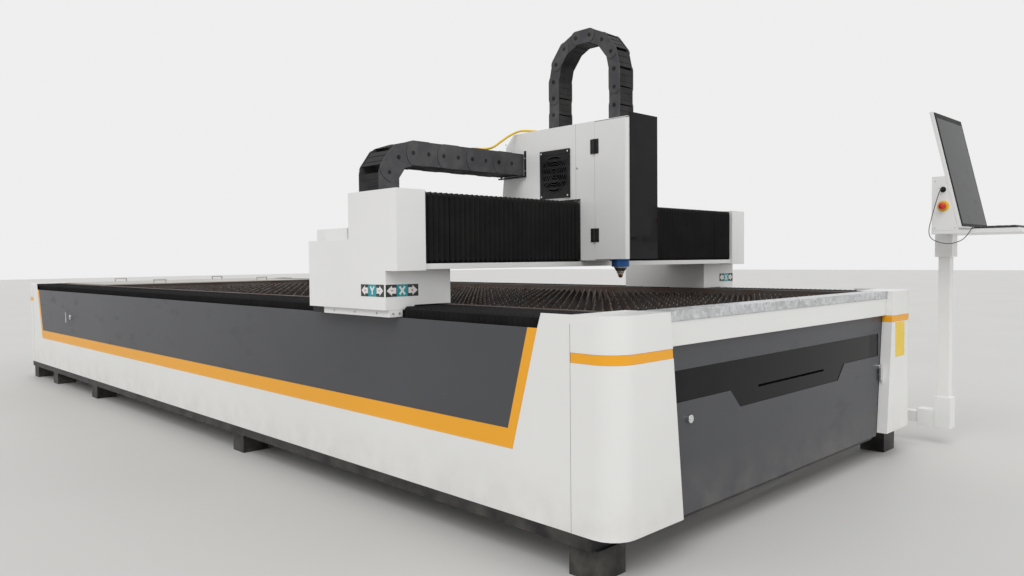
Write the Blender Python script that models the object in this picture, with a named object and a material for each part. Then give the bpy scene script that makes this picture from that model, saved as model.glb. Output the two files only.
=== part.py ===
# Fiber laser cutting machine: an open flat bed with a slat table, a gantry that runs along the bed,
# a carriage with a sliding cutting head, cable chains, bellows and an operator pendant on a column.
# Lengths are in metres. X runs across the bed, Y along it away from the front end, Z up.
# Sizes are measured from the bed's front left corner on the floor and then centred on the whole machine.
import math

import bmesh
import bpy
from mathutils import Matrix, Vector

for old in list(bpy.data.objects):
    bpy.data.objects.remove(old, do_unlink=True)

# Bed
bed_width = 2.678
bed_length = 7.288
bed_top = 0.905
skirt_bottom = 0.154
sheet = 0.003
touch = 0.0003
overrun = 0.01
rail_gap = 10 * touch
beam_gap = 8 * touch
slide_gap = 6 * touch

# Corner posts: reach along the front at top and foot, reach along the side, and the band around them
post_top_reach = 0.3087
post_foot_reach = 0.3866
post_side_reach = 0.1966
post_corner_radius = 0.1
post_return = 0.052
band_height = 0.035
band_drop = 0.129
band_recess = 0.001
band_thickness = 0.003

# Side walls: places along the side of the slanted edges, and heights
wall_top_reach = 0.333
stripe_outer_top = 0.3516
stripe_outer_foot = 0.4815
stripe_inner_top = 0.399
stripe_inner_foot = 0.505
stripe_rise = 0.244
stripe_height = 0.074
cover_drop = 0.0544

# Frame
foot_height = 0.109
foot_width = 0.15
foot_depth = 0.13
foot_inset = 0.02
foot_front = 0.16
foot_row_shares = (0.0, 0.3753, 0.7484, 0.9077, 1.0)
base_beam_width = 0.137
base_beam_height = 0.141
base_beam_start = 0.11
cross_beam_depth = 0.1
cross_beam_rise = 0.01
cross_beam_height = 0.091
upright_outer = 0.07
upright_inner = 0.13
rail_beam_outer = 0.06
rail_beam_inner = 0.2997
rail_beam_height = 0.2
rail_beam_drop = 0.105

# Guide rails and racks along the bed
y_rail_outer = 0.1
y_rail_width = 0.035
y_rail_height = 0.03
y_rack_outer = 0.16
y_rack_width = 0.025
y_rail_inset = 0.21

# Bellows
bellows_outer = 0.02
bellows_inner = 0.25
bellows_drop = 0.008
bellows_inset = 0.2
bellows_wall = 0.003
bellows_fold = 0.012
y_bellows_pitch = 0.26
x_bellows_pitch = 0.1

# Table
ledge_inner = 0.36
ledge_rise = 0.03
support_height = 0.156
support_drop = 0.009
support_flange_outer = 0.262
slat_start = 0.16
slat_end_gap = 0.06
slat_pitch = 0.128
slat_thickness = 0.004
slat_drop = 0.05
slat_tooth_height = 0.03
slat_tooth_pitch = 0.19
deck_reach = 1.268

# Front end
edge_plate_height = 0.038
edge_plate_front = 0.03
edge_plate_depth = 0.1
crossrail_front = 0.034
crossrail_depth = 0.05
door_drop = 0.0167
door_clearance = 0.006
door_depth = 0.02
hinge_y = 0.06
hinge_radius = 0.006
panel_side = 0.375
panel_shoulder = 0.8
panel_notch = 0.874
panel_drop = 0.094
panel_ledge_drop = 0.119
panel_height = 0.194
cam_lock_x = 0.498
cam_lock_rise = 0.3587
lever_latch_inset = 0.371
lever_latch_rise = 0.3687
lever_length = 0.075

# Gantry: the home place is the front face of its lower end blocks
gantry_home = 1.168
gantry_overhang = 0.068
gantry_depth = 0.622
end_wall = 0.003
upper_inner = 0.084
upper_front_offset = 0.084
upper_rear_offset = 0.277
upper_rise = 0.005
lower_inner = 0.287
lower_lap = 0.022
lower_inner_lap = 0.004
lower_rise = 0.135
beam_seat_rise = 0.15
beam_lip = 0.005
saddle_rise = 0.053
saddle_outer = -0.05
saddle_inner = 0.24
beam_height = 0.335
beam_flange_height = 0.0247
beam_front_offset = 0.072
beam_tube_front_offset = -0.0223
beam_tube_depth = 0.25
beam_wall = 0.008
x_rail_size = 0.025
x_rail_rise = 0.065
x_rail_drop = 0.06
tray_drop = 0.1353
tray_thickness = 0.0047
tray_start = 0.1
tray_end = 1.4

# Carriage: the home place is its left face
carriage_home = 1.104
carriage_width = 0.241
housing_seam_offset = 0.17
housing_rise = 0.031
housing_gap = 0.013
housing_reach = 0.4
housing_rear_offset = 0.508
nose_front_offset = 0.383
nose_rise = 0.004
nose_drop = 0.005
nose_radius = 0.02
nose_glass_rise = 0.02
nose_glass_thickness = 0.0052
nose_glass_inset = 0.016
nose_hinge_out = 0.006
nose_hinge_rises = ((0.089, 0.157), (0.535, 0.608))
hinge_leaf = 0.0025
hinge_reach = 0.025

# Cutting head on its slide
head_across = 0.12
head_offset = 0.238
head_radius = 0.045
head_rise = 0.09

# Cable chains
chain_pitch = 0.091
chain_notch = 0.008
x_chain_front_offset = 0.332
x_chain_width = 0.175
x_chain_centre_x = 0.342
x_chain_outer = 0.21
x_chain_inner = 0.09
x_chain_fixed_end = 1.34
z_chain_offset = 0.016
z_chain_width = 0.115
z_chain_across = 0.091
z_chain_rise = 0.268
z_chain_outer = 0.244
z_chain_inner = 0.173
z_chain_drop = 0.19

# Pendant
column_offset = 0.232
column_y = -0.09
column_size = 0.06
column_top = 1.0847
arm_fitting_size = 0.084
arm_bottom = 0.105
arm_fitting_height = 0.179
cap_size = 0.09
pendant_offset = 0.215
pendant_width = 0.47
tray_front = -0.512
tray_rear = -0.08
tray_rise = 0.1433
pendant_box_height = 0.297
monitor_lean_degrees = 13.1
monitor_lean = math.radians(monitor_lean_degrees)
monitor_foot_y = -0.235
monitor_rise = 0.017
monitor_length = 0.656
monitor_thickness = 0.02
screen_thickness = 0.0037
estop_y = -0.139
estop_rise = 0.134
usb_y = -0.137
usb_rise = 0.224

# The route of each cord, measured like the rest of the machine
keyboard_cord_points = (
    (2.6692, -0.137, 1.452), (2.661, -0.137, 1.4518), (2.652, -0.133, 1.440), (2.649, -0.117, 1.385),
    (2.650, -0.095, 1.300),
    (2.652, -0.081, 1.225), (2.656, -0.100, 1.180), (2.660, -0.172, 1.156), (2.664, -0.236, 1.172),
    (2.670, -0.268, 1.205), (2.678, -0.282, 1.234), (2.688, -0.284, 1.2405), (2.6992, -0.284, 1.2405),
)
fibre_points = (
    (0.800, 1.560, 1.6835), (0.862, 1.562, 1.686), (0.930, 1.566, 1.703), (1.000, 1.572, 1.742),
    (1.062, 1.566, 1.780), (1.118, 1.540, 1.806), (1.172, 1.500, 1.8065), (1.216, 1.455, 1.801),
    (1.238, 1.420, 1.799), (1.246, 1.3977, 1.799),
)
keyboard_cord_diameter = 0.004
fibre_diameter = 0.012

# Colours: base colour, roughness and metallic value
white_paint = ((0.83, 0.83, 0.81), 0.35, 0.0)
grey_paint = ((0.075, 0.078, 0.088), 0.4, 0.0)
yellow_paint = ((0.95, 0.45, 0.02), 0.4, 0.0)
black_paint = ((0.02, 0.02, 0.022), 0.5, 0.0)
gloss_black = ((0.008, 0.008, 0.01), 0.08, 0.0)
bellows_black = ((0.012, 0.012, 0.013), 0.7, 0.0)
chain_black = ((0.03, 0.03, 0.033), 0.45, 0.0)
bare_steel = ((0.45, 0.44, 0.42), 0.35, 1.0)
dark_steel = ((0.16, 0.14, 0.13), 0.5, 1.0)
galvanised = ((0.55, 0.56, 0.57), 0.4, 1.0)
chrome_metal = ((0.75, 0.75, 0.75), 0.15, 1.0)
blue_paint = ((0.05, 0.16, 0.45), 0.3, 0.3)
red_plastic = ((0.7, 0.03, 0.02), 0.3, 0.0)

# What follows from the sizes above
middle_x = bed_width / 2
middle_y = bed_length / 2
band_top = bed_top - band_drop
band_bottom = band_top - band_height
stripe_bottom = skirt_bottom + stripe_rise
cover_top = bed_top - cover_drop
base_beam_top = foot_height + base_beam_height
cross_beam_bottom = foot_height + cross_beam_rise
cross_beam_top = cross_beam_bottom + cross_beam_height
rail_beam_top = bed_top - rail_beam_drop
rail_beam_bottom = rail_beam_top - rail_beam_height
bellows_top = bed_top - bellows_drop
ledge_top = rail_beam_top + ledge_rise
support_top = bed_top - support_drop
support_bottom = support_top - support_height
slat_valley = support_top - slat_drop
slat_tip = slat_valley + slat_tooth_height
deck_front = bed_length - deck_reach
slat_end = deck_front - slat_end_gap
edge_plate_bottom = bed_top - edge_plate_height
door_bottom = skirt_bottom - door_drop
hinge_height = door_bottom - touch - hinge_radius
cam_lock_height = door_bottom + cam_lock_rise
lever_latch_x = bed_width - lever_latch_inset
lever_latch_height = door_bottom + lever_latch_rise
saddle_bottom = rail_beam_top + saddle_rise
lower_bottom = bed_top - lower_lap
lower_inner_bottom = bed_top - lower_inner_lap
beam_seat = bed_top + beam_seat_rise
lower_top = beam_seat + lower_rise
beam_top = beam_seat + beam_height
upper_top = beam_top + upper_rise
beam_flange_top = beam_seat + beam_flange_height
x_rail_lower = beam_seat + x_rail_rise
x_rail_upper = beam_top - x_rail_drop
tray_top_height = beam_top - tray_drop
housing_bottom = beam_seat + housing_rise
housing_over_beam = beam_top + housing_gap
housing_top = beam_top + housing_reach
nose_bottom = housing_bottom + nose_rise
nose_top = housing_top - nose_drop
nose_glass_top = housing_top + nose_glass_rise
head_tip = bed_top + head_rise
x_chain_centre_height = tray_top_height + touch + x_chain_outer
z_chain_centre_height = housing_top + z_chain_rise
z_chain_foot = housing_top - z_chain_drop
column_x = bed_width + column_offset
arm_fitting_top = arm_bottom + arm_fitting_height
pendant_left = column_x - pendant_offset
tray_top = column_top + tray_rise
pendant_box_top = tray_top + pendant_box_height
monitor_foot_height = tray_top + monitor_rise
estop_height = tray_top + estop_rise
usb_height = tray_top + usb_rise
gantry_rear = gantry_home + gantry_depth
upper_front = gantry_home - upper_front_offset
upper_rear = gantry_home + upper_rear_offset
beam_front = gantry_home - beam_front_offset
beam_tube_front = gantry_home - beam_tube_front_offset
beam_tube_rear = beam_tube_front + beam_tube_depth
x_rail_front = beam_tube_front - x_rail_size
carriage_right = carriage_home + carriage_width
housing_seam = gantry_home - housing_seam_offset
nose_front_y = gantry_home - nose_front_offset
head_x = carriage_home + head_across
head_y = gantry_home - head_offset
x_chain_front = gantry_home + x_chain_front_offset
x_chain_rear = x_chain_front + x_chain_width
z_chain_y = gantry_home - z_chain_offset
z_chain_left = carriage_home + z_chain_across
z_chain_right = z_chain_left + z_chain_width
pendant_right = pendant_left + pendant_width
centre = Vector(((pendant_right - gantry_overhang) / 2, (bed_length + tray_front) / 2, 0))

parts = bpy.data.collections.new("fiber_laser_cutting_machine")
tools = bpy.data.collections.new("cutters")
bpy.context.scene.collection.children.link(parts)
bpy.context.scene.collection.children.link(tools)


def post_reach(height):
    """Reach of a corner post along the front at a height."""
    slope = (post_top_reach - post_foot_reach) / (bed_top - skirt_bottom)
    return post_foot_reach + slope * (height - skirt_bottom)


def mover(name, point, carrier=None):
    """An empty on a joint's axis that carries the moving pieces."""
    empty = bpy.data.objects.new(name, None)
    parts.objects.link(empty)
    empty["place"] = tuple(Vector(point))
    hold(empty, Vector(point), carrier)
    return empty


def hold(thing, point, carrier):
    """Put a thing at a point and parent it to its carrier."""
    if carrier is None:
        thing.location = point - centre
    else:
        thing.parent = carrier
        thing.location = point - Vector(carrier["place"])


def slab(shape, x, y, z):
    """Add a box to a mesh from its extents along X, Y and Z."""
    size = Vector((x[1] - x[0], y[1] - y[0], z[1] - z[0]))
    place = Vector((x[0] + x[1], y[0] + y[1], z[0] + z[1])) / 2
    bmesh.ops.create_cube(shape, size=1, matrix=Matrix.Translation(place) @ Matrix.Diagonal((*size, 1)))


def rod(shape, point, radius, length, axis="Z", sides=16, end_radius=None):
    """Add a cylinder or cone that starts at a point and runs along an axis."""
    turn = {"X": Matrix.Rotation(math.pi / 2, 4, "Y"), "Y": Matrix.Rotation(-math.pi / 2, 4, "X"),
            "Z": Matrix.Identity(4)}[axis]
    lift = Matrix.Translation((0, 0, length / 2))
    tip = radius if end_radius is None else end_radius
    bmesh.ops.create_cone(shape, cap_ends=True, segments=sides, radius1=radius, radius2=tip,
                          depth=length, matrix=Matrix.Translation(point) @ turn @ lift)


def loft(shape, rings):
    """Skin a row of closed loops with the same count of points, and cap both ends."""
    loops = [[shape.verts.new(point) for point in ring] for ring in rings]
    for near, far in zip(loops, loops[1:]):
        for index in range(len(near)):
            after = (index + 1) % len(near)
            shape.faces.new((near[index], near[after], far[after], far[index]))
    shape.faces.new(loops[0])
    shape.faces.new(loops[-1])


def prism(shape, outline, axis, start, end):
    """Extrude a flat outline along an axis; the outline is in the other two axes, in order."""
    place = {"X": lambda a, b, c: (c, a, b), "Y": lambda a, b, c: (a, c, b),
             "Z": lambda a, b, c: (a, b, c)}[axis]
    loft(shape, [[place(a, b, level) for a, b in outline] for level in (start, end)])


def as_mesh(name, shape, point):
    """Turn a bmesh into a mesh whose origin is a point, with its faces pointing out."""
    bmesh.ops.recalc_face_normals(shape, faces=shape.faces)
    bmesh.ops.translate(shape, verts=shape.verts, vec=-Vector(point))
    mesh = bpy.data.meshes.new(name)
    shape.to_mesh(mesh)
    shape.free()
    return mesh


def paint(thing, look):
    """Give a piece its own Principled material."""
    colour, roughness, metallic = look
    material = bpy.data.materials.new(thing.name)
    material.use_nodes = True
    shader = material.node_tree.nodes["Principled BSDF"]
    shader.inputs["Base Color"].default_value = (*colour, 1)
    shader.inputs["Roughness"].default_value = roughness
    shader.inputs["Metallic"].default_value = metallic
    thing.data.materials.append(material)


def piece(name, shape, look, point=(0, 0, 0), carrier=None, smooth=False):
    """Make one named piece from a bmesh."""
    thing = bpy.data.objects.new(name, as_mesh(name, shape, point))
    parts.objects.link(thing)
    hold(thing, Vector(point), carrier)
    paint(thing, look)
    if smooth:
        thing.data.shade_smooth()
        thing.data.set_sharp_from_angle(angle=math.radians(35))
    return thing


def combine(thing, operation, shapes):
    """Join meshes to a piece, or cut them out of it, with one Boolean each."""
    for count, shape in enumerate(shapes):
        point = Vector(thing["place"]) if "place" in thing else Vector()
        name = f"{thing.name}_{operation.lower()}_{count}"
        cutter = bpy.data.objects.new(name, as_mesh(name, shape, point))
        tools.objects.link(cutter)
        cutter.parent = thing
        cutter.hide_render = True
        cutter.display_type = "WIRE"
        step = thing.modifiers.new(name, "BOOLEAN")
        step.operation = operation
        step.solver = "EXACT"
        step.object = cutter
    return thing


def shaped(build, *sizes, **options):
    """A new mesh holding one shape."""
    shape = bmesh.new()
    build(shape, *sizes, **options)
    return shape


def turned(shape, across, along):
    """Flip a mesh to the far side of the bed across X, along Y or both."""
    for corner in shape.verts:
        if across:
            corner.co.x = bed_width - corner.co.x
        if along:
            corner.co.y = bed_length - corner.co.y
    return shape


def pair(name, make, look, carrier=None):
    """The same piece on the bed's left and right sides."""
    for side in ("left", "right"):
        placed(f"{name}_{side}", make, look, carrier, across=side == "right")


def placed(name, make, look, carrier=None, across=False, along=False):
    """A piece made from a body with its additions and cuts, flipped where asked."""
    body, adds, cuts = make()
    point = Vector((middle_x, carrier["place"][1] if carrier else 0, 0))
    thing = piece(name, turned(body, across, along), look, point, carrier)
    thing["place"] = tuple(point)
    combine(thing, "UNION", [turned(shape, across, along) for shape in adds])
    combine(thing, "DIFFERENCE", [turned(shape, across, along) for shape in cuts])


def foot_rows():
    """Places of the feet and cross beams along the bed."""
    span = bed_length - 2 * foot_front
    return [foot_front + share * span for share in foot_row_shares]


def build_frame():
    """The welded base: beams, uprights, feet, guide rails, racks, bellows plates and the door hinge."""
    shapes = []
    for across in (False, True):
        shapes += [turned(shape, across, False) for shape in frame_side()]
    inner = sheet + touch + base_beam_width
    for row in foot_rows():
        shapes.append(shaped(slab, (inner - overrun, bed_width - inner + overrun),
                             (row - cross_beam_depth / 2, row + cross_beam_depth / 2),
                             (cross_beam_bottom, cross_beam_top)))
    combine(piece("base_frame", shapes[0], black_paint), "UNION", shapes[1:] + door_hinge())


def frame_side():
    """Members of the left side of the frame."""
    length = (base_beam_start, bed_length - base_beam_start)
    plate = 0.0024
    plate_rear = bellows_inset - touch
    shapes = [
        shaped(slab, (sheet + touch, sheet + touch + base_beam_width), length,
               (foot_height - touch, base_beam_top)),
        shaped(slab, (rail_beam_outer, rail_beam_inner), length, (rail_beam_bottom, rail_beam_top))]
    for row in foot_rows():
        shapes.append(shaped(slab, (upright_outer, upright_inner),
                             (row - cross_beam_depth / 4, row + cross_beam_depth / 4),
                             (base_beam_top - overrun, rail_beam_bottom + overrun)))
        shapes.append(shaped(slab, (foot_inset, foot_inset + foot_width),
                             (row - foot_depth / 2, row + foot_depth / 2), (0, foot_height)))
    for start in (plate_rear - plate, bed_length - plate_rear):
        shapes.append(shaped(slab, (bellows_outer, bellows_inner), (start, start + plate),
                             (rail_beam_top - overrun, bellows_top)))
    track = (y_rail_inset, bed_length - y_rail_inset)
    track_height = (rail_beam_top - overrun, rail_beam_top + y_rail_height)
    shapes.append(shaped(slab, (y_rail_outer, y_rail_outer + y_rail_width), track, track_height))
    shapes.append(shaped(slab, (y_rack_outer, y_rack_outer + y_rack_width), track, track_height))
    return shapes


def door_hinge():
    """Barrel and leaf of the door's bottom hinge."""
    leaf_rear = foot_front - cross_beam_depth / 2 + overrun
    leaf_rise = 0.002
    hinge_inset = 0.45
    barrel = shaped(rod, (hinge_inset, hinge_y, hinge_height), hinge_radius,
                    bed_width - 2 * hinge_inset, "X")
    leaf = shaped(slab, (hinge_inset + sheet, bed_width - hinge_inset - sheet), (hinge_y, leaf_rear),
                  (hinge_height - leaf_rise, hinge_height + leaf_rise))
    return [barrel, leaf]


def post_section(height, inset, depth, turns=5):
    """Plan of a folded corner sheet at a height, between an outer and an inner inset."""
    reach = post_reach(height)
    outer = [(inset, post_side_reach)]
    inner = [(depth, post_side_reach)]
    for turn in range(turns + 1):
        angle = math.pi + turn * math.pi / 2 / turns
        for points, size in ((outer, post_corner_radius - inset), (inner, post_corner_radius - depth)):
            points.append((post_corner_radius + size * math.cos(angle),
                           post_corner_radius + size * math.sin(angle)))
    outer += [(reach - inset, inset), (reach - inset, post_return)]
    inner += [(reach - depth, depth), (reach - depth, post_return)]
    return [(x, y, height) for x, y in outer + inner[::-1]]


def post_body():
    """One corner post: a folded sheet with a groove for its band, under a lid."""
    deep = band_recess + band_thickness + touch
    wall = deep + sheet
    body = shaped(loft, [post_section(height, inset, depth) for height, inset, depth in (
        (skirt_bottom, 0, sheet), (band_bottom - 2 * sheet, 0, sheet), (band_bottom - sheet, 0, wall),
        (band_bottom, 0, wall), (band_bottom + touch, deep, wall), (band_top - touch, deep, wall),
        (band_top, 0, wall), (band_top + sheet, 0, wall), (band_top + 2 * sheet, 0, sheet),
        (bed_top, 0, sheet))])
    edge = [point[:2] for point in post_section(bed_top, sheet / 2, sheet)[1:8]]
    rear = post_side_reach - sheet / 2
    edge = [(edge[0][0], rear)] + edge + [(edge[-1][0], rear)]
    return body, [shaped(prism, edge, "Z", bed_top - sheet, bed_top - touch)], []


def band_body():
    """The strip in a post's groove."""
    deep = band_recess + band_thickness
    rings = [post_section(height, band_recess, deep)
             for height in (band_bottom + 2 * touch, band_top - 2 * touch)]
    return shaped(loft, rings), [], []


def build_posts():
    """Four corner posts, and the bands of the two at the front."""
    for across, side in ((False, "left"), (True, "right")):
        placed(f"front_post_{side}", post_body, white_paint, across=across)
        placed(f"rear_post_{side}", post_body, white_paint, across=across, along=True)
        placed(f"post_band_{side}", band_body, yellow_paint, across=across)


def side_strip(half):
    """A side plate whose outline is repeated at the far end."""
    outline = half + [(bed_length - y, z) for y, z in reversed(half)]
    return shaped(prism, outline, "X", 0, sheet), [], []


def build_side_walls():
    """White wall frames, yellow stripes and dark covers."""
    seam = post_side_reach + touch
    wall = [(seam, skirt_bottom), (seam, bed_top), (wall_top_reach, bed_top),
            (stripe_outer_top, cover_top), (stripe_outer_foot, stripe_bottom)]
    pair("side_panel", lambda: side_strip(wall), white_paint)
    stripe_top = stripe_bottom + stripe_height
    stripe = [(stripe_outer_foot + touch, stripe_bottom + touch), (stripe_outer_top + touch, cover_top),
              (stripe_inner_top, cover_top), (stripe_inner_foot, stripe_top)]
    pair("side_stripe", lambda: side_strip(stripe), yellow_paint)
    cover = [(stripe_inner_top + touch, cover_top), (stripe_inner_foot + touch, stripe_top + touch)]
    pair("side_cover", lambda: side_strip(cover), grey_paint)


def build_side_latch():
    """Turning handle on the left cover."""
    latch_reach = 1.388
    latch_rise = 0.482
    latch_y = bed_length - latch_reach
    latch_height = skirt_bottom + latch_rise
    rose_radius = 0.022
    rose_depth = 0.006
    stem_radius = 0.009
    stem_length = 0.03
    grip_length = 0.09
    grip_size = 0.016
    point = (0, latch_y, latch_height)
    turner = mover("side_latch_pivot", point)
    shape = shaped(rod, (-touch - rose_depth, latch_y, latch_height), rose_radius, rose_depth, "X")
    stem = shaped(rod, (-stem_length, latch_y, latch_height), stem_radius, stem_length - rose_depth / 2, "X")
    grip = shaped(slab, (-stem_length - grip_size / 2, -stem_length + grip_size / 2),
                  (latch_y - grip_size / 2, latch_y + grip_size / 2),
                  (latch_height - grip_length / 2, latch_height + grip_length / 2))
    thing = piece("side_latch_left", shape, chrome_metal, point, turner)
    thing["place"] = point
    combine(thing, "UNION", [stem, grip])


def between_posts(shape, outline, clearance):
    """A part with an outline in Y and Z that spans the slanted edges of both posts."""
    left = [(post_reach(z) + clearance, y, z) for y, z in outline]
    right = [(bed_width - x, y, z) for x, y, z in left]
    loft(shape, [left, right])


def build_front_end():
    """Fixed sheets between the front posts and the plain rear panel."""
    low = band_top + touch
    top = edge_plate_bottom
    front = crossrail_front
    rear = crossrail_front + crossrail_depth
    channel = [(front, low), (rear, low), (rear, low + sheet), (front + sheet, low + sheet),
               (front + sheet, top - sheet), (rear, top - sheet), (rear, top), (front, top)]
    piece("front_crossrail", shaped(between_posts, channel, touch), white_paint)

    front = edge_plate_front
    rear = edge_plate_front + edge_plate_depth
    angle = [(front, top + touch), (front + sheet, top + touch), (front + sheet, bed_top - sheet),
             (rear, bed_top - sheet), (rear, bed_top), (front, bed_top)]
    piece("front_edge_plate", shaped(between_posts, angle, touch), galvanised)

    rear = bed_length - post_return
    panel = [(rear - sheet, skirt_bottom), (rear, skirt_bottom), (rear, support_top - touch),
             (rear - sheet, support_top - touch)]
    piece("rear_panel", shaped(between_posts, panel, sheet + touch), grey_paint)


def inset_outline(margin):
    """Outline of the dark panel in the door, in X and Z, grown by a margin."""
    top = band_top - panel_drop
    ledge = top - panel_ledge_drop
    bottom = top - panel_height
    half = [(panel_side - margin, top + margin), (panel_side - margin, ledge - margin),
            (panel_shoulder - margin / 2, ledge - margin), (panel_notch - margin / 2, bottom - margin)]
    return half + [(bed_width - x, z) for x, z in reversed(half)]


def build_door():
    """The front door on its bottom hinge, with its dark panel and two locks."""
    post = (middle_x, hinge_y, hinge_height)
    swing = mover("front_door_pivot", post)
    rear = post_return + door_depth
    top = band_top - touch
    rim = 0.012
    lap = 0.006
    low = door_bottom
    front = [(post_return, low), (rear, low), (rear, top), (post_return, top)]
    pan = [(post_return + sheet, low + rim), (rear + overrun, low + rim),
           (rear + overrun, top - rim), (post_return + sheet, top - rim)]
    door = piece("front_door", shaped(between_posts, front, door_clearance), grey_paint, post, swing)
    door["place"] = post
    combine(door, "DIFFERENCE", [
        shaped(between_posts, pan, door_clearance + rim),
        shaped(prism, inset_outline(0), "Y", post_return - overrun, rear + overrun)])

    inset_front = post_return + sheet + touch
    inset = shaped(prism, inset_outline(lap), "Y", inset_front, inset_front + sheet)
    panel = piece("front_door_inset", inset, gloss_black, post, swing)
    panel["place"] = post
    slot_inset = 0.155
    slot_drop = 0.127
    slot_width = 0.01
    slot_left = panel_notch + slot_inset
    slot_middle = band_top - panel_drop - slot_drop
    combine(panel, "DIFFERENCE", [shaped(
        slab, (slot_left, bed_width - slot_left),
        (inset_front - overrun, inset_front + sheet + overrun),
        (slot_middle - slot_width / 2, slot_middle + slot_width / 2))])

    build_door_lock("cam_lock", (cam_lock_x, cam_lock_height), swing, 0)
    build_door_lock("lever_latch", (lever_latch_x, lever_latch_height), swing, lever_length)


def build_door_lock(name, place, carrier, lever):
    """A round lock on the door, with a lever if it has one."""
    lock_radius = 0.016
    lock_depth = 0.012
    lever_width = 0.022
    lever_depth = 0.01
    lock_x, lock_height = place
    point = (lock_x, post_return, lock_height)
    turner = mover(name + "_pivot", point, carrier)
    front = post_return - touch - lock_depth
    thing = piece(name, shaped(rod, (lock_x, front, lock_height), lock_radius, lock_depth, "Y"),
                  chrome_metal, point, turner)
    thing["place"] = point
    if lever:
        arm = shaped(slab, (lock_x - lever_width / 2, lock_x + lever_width / 2),
                     (front - lever_depth / 2, front + lever_depth / 2),
                     (lock_height - lever, lock_height + lever_width / 2))
        combine(thing, "UNION", [arm])
    else:
        key = shaped(slab, (lock_x - lever_width / 2, lock_x + lever_width / 2),
                     (front - lever_depth / 2, front + lever_depth / 2),
                     (lock_height - touch * 5, lock_height + touch * 5))
        combine(thing, "UNION", [key])


def slat_profile():
    """Toothed outline of one slat in X and Z."""
    start = rail_beam_inner + slat_thickness / 2
    end = bed_width - start
    count = max(2, round((end - start) / slat_tooth_pitch))
    step = (end - start) / count
    points = [(start, ledge_top - touch), (end, ledge_top - touch), (end, slat_valley)]
    for tooth in reversed(range(count)):
        points += [(start + (tooth + 1 / 2) * step, slat_tip), (start + tooth * step, slat_valley)]
    return points


def build_table():
    """The slat table, the scrap tray and the two rear deck plates."""
    start = edge_plate_front + edge_plate_depth + overrun
    bar_depth = 0.04
    bar = shaped(slab, (rail_beam_inner + sheet, bed_width - rail_beam_inner - sheet),
                 (deck_front + overrun, deck_front + overrun + bar_depth), (ledge_top, support_top))
    body, adds = table_side(start), [turned(table_side(start), True, False), bar]
    profile = slat_profile()
    slats = bmesh.new()
    for index in range(int((slat_end - slat_start) / slat_pitch) + 1):
        front = slat_start + index * slat_pitch
        prism(slats, profile, "Y", front, front + slat_thickness)
    combine(piece("slat_table", body, dark_steel), "UNION", adds + [slats])
    build_scrap_tray()
    pair("rear_deck", deck_body, white_paint)


def table_side(start):
    """The angle that carries the slats' left ends, with a flange on top."""
    leg = rail_beam_inner + touch
    wall = 0.004
    flange_low = support_top - sheet
    outline = [(leg, support_bottom), (leg + wall, support_bottom), (leg + wall, ledge_top - wall),
               (ledge_inner, ledge_top - wall), (ledge_inner, ledge_top), (leg + wall, ledge_top),
               (leg + wall, support_top), (support_flange_outer, support_top),
               (support_flange_outer, flange_low), (leg, flange_low)]
    return shaped(prism, outline, "Y", start, bed_length - start)


def deck_body():
    """One deck plate with two handles."""
    seam = 0.002
    grip = 0.12
    rise = 0.034
    wire = 0.005
    inset = 0.07
    outer = post_top_reach + 2 * touch
    rear = bed_length - post_return
    plate = shaped(slab, (outer, middle_x - seam / 2), (deck_front, rear), (support_top + touch, bed_top))
    middle = (outer + middle_x) / 2
    bars = []
    for place in (deck_front + inset, rear - inset):
        near = [(middle + end * (grip / 2 - step * 2 * wire), height)
                for end, step, height in ((-1, 0, -sheet), (-1, 0, rise), (1, 0, rise), (1, 0, -sheet),
                                          (1, 1, -sheet), (1, 1, rise - 2 * wire),
                                          (-1, 1, rise - 2 * wire), (-1, 1, -sheet))]
        bars.append(shaped(prism, [(x, bed_top + z) for x, z in near], "Y", place - wire, place + wire))
    return plate, bars, []


def build_scrap_tray():
    """An open tray with sloped sides on the cross beams, under the slats."""
    top_inset = 0.4
    floor_inset = 0.55
    tray_front_inset = 0.25
    tray_height = 0.3
    floor = cross_beam_top + touch
    shape = bmesh.new()
    rings = []
    for inset, height in ((floor_inset, floor), (top_inset, floor + tray_height)):
        low_y = tray_front_inset + inset - top_inset
        high_y = deck_front - inset + top_inset
        rings.append([(inset, low_y, height), (bed_width - inset, low_y, height),
                      (bed_width - inset, high_y, height), (inset, high_y, height)])
    loft(shape, rings)
    tray = piece("scrap_tray", shape, dark_steel)
    wall = 0.004
    inner = []
    for (inset, height), ring in zip(((floor_inset, floor), (top_inset, floor + tray_height)), rings):
        lift = wall if height == floor else overrun
        spread = 0 if height == floor else overrun * (floor_inset - top_inset) / tray_height
        shift = wall - spread
        inner.append([(x + math.copysign(shift, middle_x - x), y + math.copysign(shift, middle_y - y),
                       height + lift) for x, y, height in ring])
    combine(tray, "DIFFERENCE", [shaped(loft, inner)])


def fold_rings(section, start, end, pitch):
    """Rings along a bellows whose section is drawn in at every second fold."""
    count = max(2, 2 * round((end - start) / pitch))
    return [section(start + (end - start) * index / count, index % 2) for index in range(count + 1)]


def build_y_bellows(name, start, end, left):
    """An arched bellows over one rail of the bed."""
    low = rail_beam_top + rail_gap

    def section(place, drawn):
        inset = bellows_fold * drawn
        outer, inner, top = bellows_outer + inset, bellows_inner - inset, bellows_top - inset
        wall = bellows_wall
        loop = [(outer, low), (outer, top), (inner, top), (inner, low), (inner - wall, low),
                (inner - wall, top - wall), (outer + wall, top - wall), (outer + wall, low)]
        return [(x if left else bed_width - x, place, z) for x, z in loop]

    piece(name, shaped(loft, fold_rings(section, start, end, y_bellows_pitch)), bellows_black)


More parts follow.
